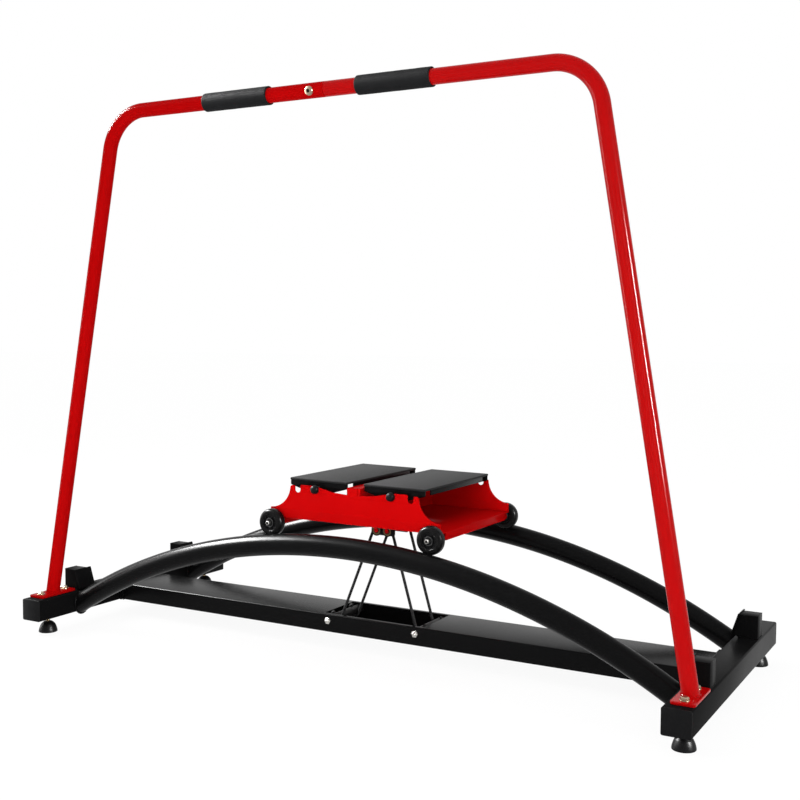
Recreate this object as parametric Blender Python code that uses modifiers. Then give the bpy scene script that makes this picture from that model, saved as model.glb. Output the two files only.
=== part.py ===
# Rocking ski machine. A steel base carries two arched rails, a carriage rolls along them on four
# wheels against elastic cords, two footboards rock on the carriage, and a hoop with two foam
# grips stands on the front ends of the crossbars.
# Units are metres. X runs along the machine, Y from front to back, Z up, with Z = 0 on the floor.

import math

import bmesh
import bpy
from mathutils import Matrix, Vector

# Gap left between pieces that touch
SEAT_GAP = 0.0003

# Base
BASE_LENGTH = 1.900
FOOT_HEIGHT = 0.043
CROSSBAR_LENGTH = 0.826
CROSSBAR_WIDTH = 0.065
CROSSBAR_HEIGHT = 0.060
CROSSBAR_WALL = 0.0025
CAP_THICKNESS = 0.003
CAP_INSERT = 0.012
BEAM_WIDTH = 0.171
BEAM_HEIGHT = 0.049
BEAM_WALL = 0.003
BEAM_FLANGE_WIDTH = 0.190
BEAM_FLANGE_THICKNESS = 0.006
OPENING_LENGTH = 0.308
OPENING_WIDTH = 0.146

# Arched rails
RAIL_OUTSET = 0.018
RAIL_RADIUS = 0.028
RAIL_WALL = 0.0025
RAIL_RISE = 0.248
RAIL_END_HEIGHT = 0.025

# Stops at the rail ends
STOP_LENGTH = 0.048
STOP_WIDTH = 0.048
STOP_HEIGHT = 0.058
STOP_INSET = 0.005
STOP_CLEARANCE = 0.004
STOP_PLATE_WIDTH = 0.064
STOP_PLATE_HEIGHT = 0.060
STOP_PLATE_THICKNESS = 0.004
STOP_PLATE_LIFT = 0.006
STOP_PLATE_LEAN = math.radians(18)

# Levelling feet
FOOT_INSET = 0.063
FOOT_PAD_RADIUS = 0.026
FOOT_TOP_RADIUS = 0.012
FOOT_PAD_HEIGHT = 0.030
FOOT_RIM = 0.003
STEM_RADIUS = 0.005
STEM_LENGTH = 0.064
LOCK_NUT_RADIUS = 0.009
LOCK_NUT_HEIGHT = 0.006

# Standing hoop
HOOP_HEIGHT = 1.450
HOOP_SETBACK = 0.088
HOOP_LEAN = 0.0184
HOOP_FOOT_INSET = 0.0275
HOOP_TOP_HALF = 0.6845
HOOP_RADIUS = 0.019
HOOP_WALL = 0.002
HOOP_BEND = 0.118
HOOP_PLATE_LENGTH = 0.130
HOOP_PLATE_WIDTH = 0.054
HOOP_PLATE_THICKNESS = 0.006
HOOP_BOLT_SPACING = 0.090
JOINT_SLEEVE_LENGTH = 0.160
JOINT_SLEEVE_WALL = 0.002
JOINT_BOLT_OFFSET = 0.039
JOINT_BOLT_RADIUS = 0.003
JOINT_HEAD_RADIUS = 0.0112
JOINT_HEAD_HEIGHT = 0.005
GRIP_RADIUS = 0.0235
GRIP_LENGTH = 0.201
GRIP_LEFT = 0.2685
GRIP_RIGHT = 0.1915

# Fasteners
BOLT_RADIUS = 0.005
BOLT_HEAD_RADIUS = 0.0095
BOLT_HEAD_HEIGHT = 0.0065
WASHER_RADIUS = 0.011
WASHER_THICKNESS = 0.0015
PLATE_BOLT_LENGTH = 0.024

# Elastic cords and what holds them in the beam
CORD_RADIUS = 0.004
CORD_SPACING = 0.094
CORD_BOLT_SPACING = 0.270
CORD_BOLT_HEIGHT = 0.032
CORD_SLEEVE_RADIUS = 0.012
CORD_WRAP = math.radians(235)

# Wheels
WHEEL_RADIUS = 0.036
WHEEL_WIDTH = 0.028
WHEEL_CORNER = 0.010
WHEEL_TREAD_FLAT = 0.008
WHEEL_INSET = 0.028
WHEEL_BASE = 0.474
WHEEL_DISH_RADIUS = 0.019
WHEEL_DISH_DEPTH = 0.006
WHEEL_HUB_RADIUS = 0.0115
AXLE_RADIUS = 0.004
AXLE_BOLT_LENGTH = 0.070
AXLE_NUT_RADIUS = 0.0062
AXLE_NUT_HEIGHT = 0.009
AXLE_TUBE_RADIUS = 0.0117

# How far the carriage rests from the middle of the rails
CARRIAGE_OFFSET = 0.014

# Carriage tray, measured up from the wheel axles
SHEET = 0.003
TRAY_CLEARANCE = 0.004
TRAY_LENGTH = 0.510
TRAY_FLOOR = 0.012
TRAY_LIP = 0.019
TRAY_LIP_INSET = 0.028
END_HEIGHT = 0.038
TAB_HEIGHT = 0.103
OUTER_TAB_HEIGHT = 0.1005
OUTER_TAB_REACH = 0.187
OUTER_TAB_WIDTH = 0.0095
NOTCH_WIDTH = 0.017
NOTCH_DEPTH = 0.0185
FLAT_TAB_WIDTH = 0.0345
VALLEY_DEPTH = 0.015
VALLEY_SHOULDER = 0.101
VALLEY_SHOULDER_HEIGHT = 0.0995
VALLEY_KNEE = 0.061
VALLEY_KNEE_HEIGHT = 0.091
VALLEY_HALF_FLOOR = 0.016
CENTRE_TAB_HALF = 0.014
CENTRE_TAB_HEIGHT = 0.107
CHANNEL_WIDTH = 0.040
CHANNEL_CLEARANCE = 0.008
CHANNEL_TOP = 0.104

# Footboards
BOARD_WIDTH = 0.179
BOARD_FRONT_CLEARANCE = 0.0095
BOARD_BACK_CLEARANCE = 0.0205
BOARD_THICKNESS = 0.006
BOARD_CENTRE = 0.1135
BOARD_LIFT = 0.018
BOARD_EDGE = 0.002
RIM_DEPTH = 0.0125
RIM_SETBACK = 0.036
PIVOT_HEIGHT = 0.0945
PIVOT_RADIUS = 0.005
PIVOT_CAP_RADIUS = 0.0115
PIVOT_CAP_LENGTH = 0.013
FLANGE_THICKNESS = 0.004
FLANGE_EDGE_INSET = 0.0015
FLANGE_HALF_BOTTOM = 0.019
FLANGE_DROP = 0.0325

# Cord pulleys under the carriage
PULLEY_RADIUS = 0.0155
PULLEY_GROOVE_RADIUS = 0.0070
PULLEY_WIDTH = 0.014
PULLEY_SPACING = 0.033
PULLEY_DROP = 0.025
PULLEY_PIN_RADIUS = 0.004
PULLEY_PIN_HEAD = 0.006
BRACKET_LENGTH = 0.064
BRACKET_PLATE = 0.004

# Facets of round pieces
TUBE_SIDES = 16
RAIL_STEPS = 26
BEND_STEPS = 10
TURN_STEPS = 20
SMALL_STEPS = 12

# Places that follow from the sizes above
HALF_LENGTH = BASE_LENGTH / 2
INNER_FACE = HALF_LENGTH - CROSSBAR_WIDTH
CROSSBAR_X = HALF_LENGTH - CROSSBAR_WIDTH / 2
CROSSBAR_TOP = FOOT_HEIGHT + CROSSBAR_HEIGHT
STOP_INNER_X = HALF_LENGTH - STOP_INSET - STOP_LENGTH
ARC_RADIUS = (INNER_FACE ** 2 + RAIL_RISE ** 2) / (2 * RAIL_RISE)
ARC_CENTRE_Z = FOOT_HEIGHT + RAIL_END_HEIGHT + RAIL_RISE - ARC_RADIUS
HOOP_Y = -(CROSSBAR_LENGTH / 2 - HOOP_SETBACK)
HOOP_TOP_Y = HOOP_Y + HOOP_LEAN
HOOP_FOOT_X = HALF_LENGTH - HOOP_FOOT_INSET
STOP_Y = -HOOP_Y - HOOP_PLATE_LENGTH / 2 - STOP_CLEARANCE - STOP_WIDTH / 2
RAIL_Y = STOP_Y + RAIL_OUTSET
WHEEL_Y = RAIL_Y - WHEEL_INSET
WHEEL_X = WHEEL_BASE / 2
TREAD_REACH = WHEEL_INSET - WHEEL_TREAD_FLAT / 2
TREAD_SEAT = RAIL_RADIUS + WHEEL_CORNER + SEAT_GAP
AXLE_ABOVE_RAIL = WHEEL_RADIUS - WHEEL_CORNER + math.sqrt(TREAD_SEAT ** 2 - TREAD_REACH ** 2)
REST_ROLL = CARRIAGE_OFFSET / (ARC_RADIUS + AXLE_ABOVE_RAIL)
AXLE_Z = ARC_CENTRE_Z + math.sqrt((ARC_RADIUS + AXLE_ABOVE_RAIL) ** 2 - WHEEL_X ** 2)
CORD_Y = CORD_SPACING / 2
CORD_BOLT_X = CORD_BOLT_SPACING / 2
CORD_BOLT_Z = FOOT_HEIGHT + CORD_BOLT_HEIGHT
PULLEY_X = PULLEY_SPACING / 2
PULLEY_Z = AXLE_Z - PULLEY_DROP
PIVOT_Z = AXLE_Z + PIVOT_HEIGHT
TRAY_Y = WHEEL_Y - WHEEL_WIDTH / 2 - TRAY_CLEARANCE
TRAY_WIDTH = 2 * TRAY_Y
TRAY_X = TRAY_LENGTH / 2
TRAY_BOTTOM = AXLE_Z + TRAY_FLOOR
CHANNEL_LENGTH = TRAY_WIDTH - 2 * (SHEET + CHANNEL_CLEARANCE)
BOARD_LENGTH = TRAY_WIDTH - 2 * SHEET - BOARD_FRONT_CLEARANCE - BOARD_BACK_CLEARANCE
BOARD_Y = (BOARD_FRONT_CLEARANCE - BOARD_BACK_CLEARANCE) / 2
BOARD_UNDERSIDE = PIVOT_HEIGHT + BOARD_LIFT
FLANGE_HALF_TOP = BOARD_WIDTH / 2 - FLANGE_EDGE_INSET


# Scene and materials

for old in list(bpy.data.objects):
    bpy.data.objects.remove(old, do_unlink=True)

PARTS = bpy.data.collections.new("rocking_ski_machine")
CUTTERS = bpy.data.collections.new("cutters")
bpy.context.scene.collection.children.link(PARTS)
bpy.context.scene.collection.children.link(CUTTERS)


def make_material(name, colour, roughness, metallic):
    material = bpy.data.materials.new(name)
    material.use_nodes = True
    shader = material.node_tree.nodes["Principled BSDF"]
    shader.inputs["Base Color"].default_value = (*colour, 1.0)
    shader.inputs["Roughness"].default_value = roughness
    shader.inputs["Metallic"].default_value = metallic
    return material


RED_PAINT = make_material("red_paint", (0.62, 0.010, 0.012), 0.25, 0.0)
BLACK_PAINT = make_material("black_paint", (0.012, 0.012, 0.013), 0.42, 0.0)
ZINC = make_material("zinc_steel", (0.62, 0.61, 0.58), 0.30, 1.0)
BLACK_STEEL = make_material("black_steel", (0.05, 0.05, 0.055), 0.38, 0.9)
FOAM = make_material("foam_grip", (0.030, 0.031, 0.034), 0.85, 0.0)
TYRE = make_material("wheel_tyre", (0.020, 0.020, 0.021), 0.35, 0.0)
PLASTIC = make_material("black_plastic", (0.018, 0.018, 0.019), 0.45, 0.0)
RUBBER = make_material("foot_rubber", (0.016, 0.016, 0.017), 0.60, 0.0)
CORD = make_material("elastic_cord", (0.008, 0.008, 0.008), 0.75, 0.0)


# Helpers that make and place solids

def link(obj, material=None, cutter=False):
    (CUTTERS if cutter else PARTS).objects.link(obj)
    if cutter:
        obj.hide_render = True
        obj.display_type = "WIRE"
    else:
        obj.data.materials.append(material)
    return obj


def shade_round(mesh, angle=40):
    mesh.shade_smooth()
    mesh.set_sharp_from_angle(angle=math.radians(angle))


def block(name, size, centre, material=None, cutter=False, edge=0.0):
    mesh = bpy.data.meshes.new(name)
    shape = bmesh.new()
    bmesh.ops.create_cube(shape, size=1.0, matrix=Matrix.Diagonal((*size, 1.0)))
    shape.to_mesh(mesh)
    shape.free()
    obj = link(bpy.data.objects.new(name, mesh), material, cutter)
    obj.location = centre
    if edge:
        bevel = obj.modifiers.new("rounded edges", "BEVEL")
        bevel.width = edge
        bevel.segments = 2
        bevel.limit_method = "ANGLE"
    return obj


def rod(name, radius, length, centre, axis, material=None, cutter=False, sides=SMALL_STEPS):
    mesh = bpy.data.meshes.new(name)
    shape = bmesh.new()
    bmesh.ops.create_cone(shape, cap_ends=True, segments=sides, radius1=radius, radius2=radius, depth=length)
    shape.to_mesh(mesh)
    shape.free()
    shade_round(mesh)
    obj = link(bpy.data.objects.new(name, mesh), material, cutter)
    obj.location = centre
    obj.rotation_euler = Vector(axis).to_track_quat("Z", "Y").to_euler()
    return obj


def turned(name, profile, centre, axis, material, steps=TURN_STEPS, closed=False):
    """Turn (radius, height) points, listed down the outer side, about the given axis."""
    mesh = bpy.data.meshes.new(name)
    count = len(profile)
    edges = [(i, i + 1) for i in range(count - 1)]
    if closed:
        edges.append((count - 1, 0))
    mesh.from_pydata([(radius, 0.0, height) for radius, height in profile], edges, [])
    obj = link(bpy.data.objects.new(name, mesh), material)
    obj.location = centre
    obj.rotation_euler = Vector(axis).to_track_quat("Z", "Y").to_euler()
    screw = obj.modifiers.new("turning", "SCREW")
    screw.steps = steps
    screw.render_steps = steps
    screw.use_merge_vertices = True
    screw.merge_threshold = 0.00001
    screw.use_smooth_shade = True
    return obj


def boolean(obj, tool, operation="DIFFERENCE"):
    modifier = obj.modifiers.new(tool.name, "BOOLEAN")
    modifier.operation = operation
    modifier.solver = "EXACT"
    modifier.object = tool
    return obj


def hole(obj, radius, length, centre, axis, sides=SMALL_STEPS):
    return boolean(obj, rod(obj.name + "_hole", radius, length, centre, axis, cutter=True, sides=sides))


def path_curve(points, radius, sides, caps):
    curve = bpy.data.curves.new("path", "CURVE")
    curve.dimensions = "3D"
    curve.bevel_depth = radius
    curve.bevel_resolution = sides // 2 - 2
    curve.use_fill_caps = caps
    spline = curve.splines.new("POLY")
    spline.points.add(len(points) - 1)
    for point, place in zip(spline.points, points):
        point.co = (*place, 1.0)
    return curve


def baked(name, data):
    """A mesh object made from a curve, with its seams and caps welded."""
    source = bpy.data.objects.new(name + "_curve", data)
    bpy.context.scene.collection.objects.link(source)
    bpy.context.view_layer.update()
    evaluated = source.evaluated_get(bpy.context.evaluated_depsgraph_get())
    mesh = bpy.data.meshes.new_from_object(evaluated)
    bpy.data.objects.remove(source, do_unlink=True)
    shape = bmesh.new()
    shape.from_mesh(mesh)
    bmesh.ops.remove_doubles(shape, verts=shape.verts, dist=0.00001)
    bmesh.ops.recalc_face_normals(shape, faces=shape.faces)
    shape.to_mesh(mesh)
    shape.free()
    mesh.name = name
    mesh.materials.clear()
    return bpy.data.objects.new(name, mesh)


def hollow_tube(name, points, radius, wall, material, sides=TUBE_SIDES):
    obj = link(baked(name, path_curve(points, radius, sides, False)), material)
    shade_round(obj.data)
    solidify = obj.modifiers.new("wall", "SOLIDIFY")
    solidify.thickness = wall
    solidify.offset = -1.0
    return obj


def sheet(name, outline, thickness, centre, material=None, cutter=False):
    """A flat piece with its outline in X and Z, centred on its thickness in Y."""
    curve = bpy.data.curves.new(name, "CURVE")
    curve.dimensions = "2D"
    curve.fill_mode = "BOTH"
    curve.extrude = thickness / 2
    spline = curve.splines.new("POLY")
    spline.points.add(len(outline) - 1)
    spline.use_cyclic_u = True
    for point, (across, up) in zip(spline.points, outline):
        point.co = (across, up, 0.0, 1.0)
    obj = link(baked(name, curve), material, cutter)
    obj.location = centre
    obj.rotation_euler = (math.pi / 2, 0.0, 0.0)
    return obj


def arc(centre, radius, start, end, steps):
    """Points on a circle in a plane, from one angle in degrees to another."""
    angles = [math.radians(start + (end - start) * i / steps) for i in range(steps + 1)]
    return [(centre[0] + radius * math.cos(a), centre[1] + radius * math.sin(a)) for a in angles]


def filleted(points, radius, steps):
    """A path through the points, with each inner corner rounded by the same radius."""
    path = [Vector(points[0])]
    for before, corner, after in zip(points, points[1:], points[2:]):
        corner = Vector(corner)
        to_start = (Vector(before) - corner).normalized()
        to_end = (Vector(after) - corner).normalized()
        half = to_start.angle(to_end) / 2
        middle = corner + (to_start + to_end).normalized() * radius / math.sin(half)
        first = corner + to_start * radius / math.tan(half) - middle
        last = corner + to_end * radius / math.tan(half) - middle
        sweep = first.angle(last)
        for i in range(steps + 1):
            share = i / steps
            blend = first * math.sin(sweep * (1 - share)) + last * math.sin(sweep * share)
            path.append(middle + blend / math.sin(sweep))
    path.append(Vector(points[-1]))
    return path


# Crossbars with their end caps

def make_crossbar(side, label):
    length = CROSSBAR_LENGTH - 2 * (CAP_THICKNESS + SEAT_GAP)
    centre = (side * CROSSBAR_X, 0.0, FOOT_HEIGHT + CROSSBAR_HEIGHT / 2)
    bar = block(f"crossbar_{label}", (CROSSBAR_WIDTH, length, CROSSBAR_HEIGHT), centre, BLACK_PAINT)
    inside = (CROSSBAR_WIDTH - 2 * CROSSBAR_WALL, CROSSBAR_LENGTH, CROSSBAR_HEIGHT - 2 * CROSSBAR_WALL)
    boolean(bar, block(f"{bar.name}_inside", inside, centre, cutter=True))
    for end in (-1, 1):
        bolt_y = HOOP_Y + end * HOOP_BOLT_SPACING / 2
        top = (side * HOOP_FOOT_X, bolt_y, CROSSBAR_TOP)
        hole(bar, BOLT_RADIUS + SEAT_GAP, 4 * CROSSBAR_WALL, top, (0, 0, 1))
        foot = (side * CROSSBAR_X, end * (CROSSBAR_LENGTH / 2 - FOOT_INSET), FOOT_HEIGHT)
        hole(bar, STEM_RADIUS + SEAT_GAP, 4 * CROSSBAR_WALL, foot, (0, 0, 1))
        make_end_cap(side, label, end, centre)


def make_end_cap(side, label, end, bar_centre):
    place = "front" if end < 0 else "back"
    plate_y = end * (CROSSBAR_LENGTH - CAP_THICKNESS) / 2
    plate_size = (CROSSBAR_WIDTH, CAP_THICKNESS, CROSSBAR_HEIGHT)
    plate_centre = (bar_centre[0], plate_y, bar_centre[2])
    cap = block(f"end_cap_{label}_{place}", plate_size, plate_centre, PLASTIC)
    play = 2 * (CROSSBAR_WALL + SEAT_GAP)
    insert_size = (CROSSBAR_WIDTH - play, CAP_INSERT, CROSSBAR_HEIGHT - play)
    insert_y = plate_y - end * CAP_INSERT / 2
    insert = block(f"{cap.name}_insert", insert_size, (bar_centre[0], insert_y, bar_centre[2]), cutter=True)
    boolean(cap, insert, "UNION")


# Long low beam with the opening for the cords

def make_beam():
    length = 2 * (INNER_FACE - SEAT_GAP)
    centre = (0.0, 0.0, FOOT_HEIGHT + BEAM_HEIGHT / 2)
    beam = block("center_beam", (length, BEAM_WIDTH, BEAM_HEIGHT), centre, BLACK_PAINT)
    for side in (-1, 1):
        flange_x = side * (INNER_FACE - SEAT_GAP - BEAM_FLANGE_THICKNESS / 2)
        flange_size = (BEAM_FLANGE_THICKNESS, BEAM_FLANGE_WIDTH, BEAM_HEIGHT + BEAM_FLANGE_THICKNESS)
        flange_z = FOOT_HEIGHT + flange_size[2] / 2
        flange = block(f"beam_flange_{side}", flange_size, (flange_x, 0.0, flange_z), cutter=True)
        boolean(beam, flange, "UNION")
    inside = (BASE_LENGTH, BEAM_WIDTH - 2 * BEAM_WALL, BEAM_HEIGHT - 2 * BEAM_WALL)
    boolean(beam, block("beam_inside", inside, centre, cutter=True))
    opening = (OPENING_LENGTH, OPENING_WIDTH, 4 * BEAM_WALL)
    top = (0.0, 0.0, FOOT_HEIGHT + BEAM_HEIGHT)
    boolean(beam, block("beam_opening", opening, top, cutter=True))
    for side in (-1, 1):
        bolt = (side * CORD_BOLT_X, 0.0, CORD_BOLT_Z)
        hole(beam, BOLT_RADIUS + SEAT_GAP, 2 * BEAM_WIDTH, bolt, (0, 1, 0))


# Arched rails, cut off square to the ground at the crossbars

def make_rail(side, label):
    reach = math.asin(INNER_FACE / ARC_RADIUS) + math.atan(RAIL_RADIUS / ARC_RADIUS) * 2
    points = []
    for i in range(RAIL_STEPS + 1):
        angle = -reach + 2 * reach * i / RAIL_STEPS
        across = ARC_RADIUS * math.sin(angle)
        points.append((across, side * RAIL_Y, ARC_CENTRE_Z + ARC_RADIUS * math.cos(angle)))
    rail = hollow_tube(f"rail_{label}", points, RAIL_RADIUS, RAIL_WALL, BLACK_PAINT)
    span = (2 * (INNER_FACE - SEAT_GAP), 4 * RAIL_RADIUS, 4 * RAIL_RISE)
    trim = block(f"rail_{label}_span", span, (0.0, side * RAIL_Y, FOOT_HEIGHT + RAIL_RISE), cutter=True)
    boolean(rail, trim, "INTERSECT")


# Stops on the crossbars where the rails end

def make_stop(side, end, label):
    lean = math.tan(STOP_PLATE_LEAN)
    foot = (STOP_PLATE_LIFT - STOP_PLATE_HEIGHT) * lean
    middle = STOP_PLATE_THICKNESS / 2
    origin = (side * STOP_INNER_X, end * STOP_Y, CROSSBAR_TOP + SEAT_GAP)
    profile = [
        (0.0, 0.0),
        (side * STOP_LENGTH, 0.0),
        (side * STOP_LENGTH, STOP_HEIGHT),
        (side * middle, STOP_HEIGHT),
        (side * (foot + middle), STOP_PLATE_LIFT * 1.1),
    ]
    stop = sheet(f"stop_{label}", profile, STOP_WIDTH, origin, BLACK_PAINT)
    outline = [
        (side * foot, STOP_PLATE_LIFT),
        (side * (foot + STOP_PLATE_THICKNESS), STOP_PLATE_LIFT),
        (side * STOP_PLATE_THICKNESS, STOP_PLATE_HEIGHT),
        (0.0, STOP_PLATE_HEIGHT),
    ]
    plate = sheet(f"{stop.name}_plate", outline, STOP_PLATE_WIDTH, origin, cutter=True)
    boolean(stop, plate, "UNION")


# Levelling feet, each turned with its stem and lock nut

def make_foot(side, end, label):
    nut_bottom = FOOT_HEIGHT - SEAT_GAP - LOCK_NUT_HEIGHT
    profile = [
        (0.0, STEM_LENGTH),
        (STEM_RADIUS, STEM_LENGTH),
        (STEM_RADIUS, nut_bottom + LOCK_NUT_HEIGHT),
        (LOCK_NUT_RADIUS, nut_bottom + LOCK_NUT_HEIGHT),
        (LOCK_NUT_RADIUS, nut_bottom),
        (STEM_RADIUS, nut_bottom),
        (STEM_RADIUS, FOOT_PAD_HEIGHT),
        (FOOT_TOP_RADIUS, FOOT_PAD_HEIGHT * 0.96),
        (FOOT_PAD_RADIUS * 0.74, FOOT_PAD_HEIGHT * 0.73),
        (FOOT_PAD_RADIUS * 0.92, FOOT_PAD_HEIGHT * 0.40),
        (FOOT_PAD_RADIUS, FOOT_RIM),
        (FOOT_PAD_RADIUS, 0.0),
        (0.0, 0.0),
    ]
    centre = (side * CROSSBAR_X, end * (CROSSBAR_LENGTH / 2 - FOOT_INSET), 0.0)
    turned(f"foot_{label}", profile, centre, (0, 0, 1), RUBBER, TUBE_SIDES)


# Hoop halves with their foot plates

def make_hoop_half(side, label):
    plate_bottom = CROSSBAR_TOP + SEAT_GAP
    plate_top = plate_bottom + HOOP_PLATE_THICKNESS
    foot = Vector((side * HOOP_FOOT_X, HOOP_Y, plate_top))
    corner = Vector((side * HOOP_TOP_HALF, HOOP_TOP_Y, HOOP_HEIGHT))
    below = foot + (foot - corner).normalized() * 2 * HOOP_RADIUS
    seam = Vector((side * SEAT_GAP / 2, HOOP_TOP_Y, HOOP_HEIGHT))
    points = filleted([below, corner, seam], HOOP_BEND, BEND_STEPS)
    hoop = hollow_tube(f"hoop_{label}", points, HOOP_RADIUS, HOOP_WALL, RED_PAINT)
    floor_size = (6 * HOOP_RADIUS, 6 * HOOP_RADIUS, 6 * HOOP_RADIUS)
    floor_place = (foot.x, foot.y, plate_top - HOOP_PLATE_THICKNESS / 2 - floor_size[2] / 2)
    boolean(hoop, block(f"{hoop.name}_floor", floor_size, floor_place, cutter=True))
    plate_size = (HOOP_PLATE_WIDTH, HOOP_PLATE_LENGTH, HOOP_PLATE_THICKNESS)
    plate_place = (foot.x, foot.y, plate_bottom + HOOP_PLATE_THICKNESS / 2)
    boolean(hoop, block(f"{hoop.name}_plate", plate_size, plate_place, cutter=True), "UNION")
    for end in (-1, 1):
        bolt = (foot.x, foot.y + end * HOOP_BOLT_SPACING / 2, plate_bottom)
        hole(hoop, BOLT_RADIUS + SEAT_GAP, 4 * HOOP_PLATE_THICKNESS, bolt, (0, 0, 1))
        make_plate_bolt(bolt, plate_top, f"{label}_{'front' if end < 0 else 'back'}")
    return hoop


def make_plate_bolt(place, plate_top, label):
    head_bottom = SEAT_GAP + WASHER_THICKNESS
    profile = [
        (0.0, head_bottom + BOLT_HEAD_HEIGHT),
        (BOLT_HEAD_RADIUS, head_bottom + BOLT_HEAD_HEIGHT),
        (BOLT_HEAD_RADIUS, head_bottom),
        (WASHER_RADIUS, head_bottom),
        (WASHER_RADIUS, SEAT_GAP),
        (BOLT_RADIUS, SEAT_GAP),
        (BOLT_RADIUS, -PLATE_BOLT_LENGTH),
        (0.0, -PLATE_BOLT_LENGTH),
    ]
    turned(f"plate_bolt_{label}", profile, (place[0], place[1], plate_top), (0, 0, 1), ZINC, SMALL_STEPS)


# Sleeve and bolt that join the hoop halves, and the grips

def make_hoop_joint(hoop_left):
    outer = HOOP_RADIUS - HOOP_WALL - SEAT_GAP
    sleeve_half = JOINT_SLEEVE_LENGTH / 2
    sleeve_points = [(-sleeve_half, HOOP_TOP_Y, HOOP_HEIGHT), (sleeve_half, HOOP_TOP_Y, HOOP_HEIGHT)]
    sleeve = hollow_tube("hoop_sleeve", sleeve_points, outer, JOINT_SLEEVE_WALL, BLACK_STEEL)
    bolt_place = (-JOINT_BOLT_OFFSET, HOOP_TOP_Y, HOOP_HEIGHT)
    for piece in (hoop_left, sleeve):
        hole(piece, JOINT_BOLT_RADIUS + SEAT_GAP, 4 * HOOP_RADIUS, bolt_place, (0, 1, 0))
    seat = HOOP_RADIUS + SEAT_GAP
    profile = [
        (0.0, seat + JOINT_HEAD_HEIGHT),
        (JOINT_HEAD_RADIUS * 0.6, seat + JOINT_HEAD_HEIGHT),
        (JOINT_HEAD_RADIUS, seat + JOINT_HEAD_HEIGHT * 0.4),
        (JOINT_HEAD_RADIUS, seat),
        (JOINT_BOLT_RADIUS, seat),
        (JOINT_BOLT_RADIUS, -seat),
        (JOINT_HEAD_RADIUS, -seat),
        (JOINT_HEAD_RADIUS, -seat - JOINT_HEAD_HEIGHT),
        (0.0, -seat - JOINT_HEAD_HEIGHT),
    ]
    turned("hoop_joint_bolt", profile, bolt_place, (0, -1, 0), ZINC, SMALL_STEPS)


def make_grip(x, label):
    inner = HOOP_RADIUS + SEAT_GAP
    half = GRIP_LENGTH / 2
    soft = GRIP_RADIUS - HOOP_RADIUS
    profile = [
        (inner, half),
        (GRIP_RADIUS - soft / 2, half),
        (GRIP_RADIUS, half - soft / 2),
        (GRIP_RADIUS, -half + soft / 2),
        (GRIP_RADIUS - soft / 2, -half),
        (inner, -half),
    ]
    turned(f"grip_{label}", profile, (x, HOOP_TOP_Y, HOOP_HEIGHT), (1, 0, 0), FOAM, closed=True)


# Bolts, nuts and sleeves that hold the cords inside the beam

def make_cord_anchor(side, label):
    place = (side * CORD_BOLT_X, 0.0, CORD_BOLT_Z)
    wall = BEAM_WIDTH / 2 + SEAT_GAP
    head = wall + BOLT_HEAD_HEIGHT
    nut_end = wall + BOLT_HEAD_HEIGHT + BOLT_RADIUS
    profile = [
        (0.0, nut_end),
        (BOLT_RADIUS, nut_end),
        (BOLT_RADIUS, -wall),
        (BOLT_HEAD_RADIUS, -wall),
        (BOLT_HEAD_RADIUS, -head),
        (0.0, -head),
    ]
    turned(f"cord_bolt_{label}", profile, place, (0, -1, 0), ZINC, SMALL_STEPS)
    nut_place = (place[0], -wall - BOLT_HEAD_HEIGHT / 2, place[2])
    nut = rod(f"cord_bolt_nut_{label}", BOLT_HEAD_RADIUS, BOLT_HEAD_HEIGHT, nut_place, (0, -1, 0), ZINC, sides=6)
    hole(nut, BOLT_RADIUS + SEAT_GAP, 4 * BOLT_HEAD_HEIGHT, nut_place, (0, 1, 0))
    half = BEAM_WIDTH / 2 - BEAM_WALL - SEAT_GAP
    bore = BOLT_RADIUS + SEAT_GAP
    sleeve = [(bore, half), (CORD_SLEEVE_RADIUS, half), (CORD_SLEEVE_RADIUS, -half), (bore, -half)]
    turned(f"cord_sleeve_{label}", sleeve, place, (0, 1, 0), BLACK_STEEL, closed=True)


# Carriage tray: folded floor, end lips and two cut side plates

def side_plate_outline():
    tab = OUTER_TAB_REACH - OUTER_TAB_WIDTH
    notch = tab - NOTCH_WIDTH
    flat = notch - FLAT_TAB_WIDTH
    curve_radius = OUTER_TAB_HEIGHT - END_HEIGHT
    curve_centre = (TRAY_X, OUTER_TAB_HEIGHT)
    right = [(TRAY_X, TRAY_FLOOR), (TRAY_X, END_HEIGHT)]
    right += arc(curve_centre, curve_radius, 270, 183, 10)[1:]
    right.append((OUTER_TAB_REACH, OUTER_TAB_HEIGHT))
    right.append((tab, OUTER_TAB_HEIGHT))
    notch_centre = (tab - NOTCH_WIDTH / 2, OUTER_TAB_HEIGHT - NOTCH_DEPTH + NOTCH_WIDTH / 2)
    right += arc(notch_centre, NOTCH_WIDTH / 2, 0, -180, 8)
    right.append((notch, TAB_HEIGHT))
    right.append((flat, TAB_HEIGHT))
    right.append((VALLEY_SHOULDER, VALLEY_SHOULDER_HEIGHT))
    right.append((VALLEY_KNEE, VALLEY_KNEE_HEIGHT))
    right.append((VALLEY_HALF_FLOOR, TAB_HEIGHT - VALLEY_DEPTH))
    right.append((CENTRE_TAB_HALF, TAB_HEIGHT - VALLEY_DEPTH))
    right.append((CENTRE_TAB_HALF, CENTRE_TAB_HEIGHT))
    return right + [(-across, up) for across, up in reversed(right)]


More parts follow.
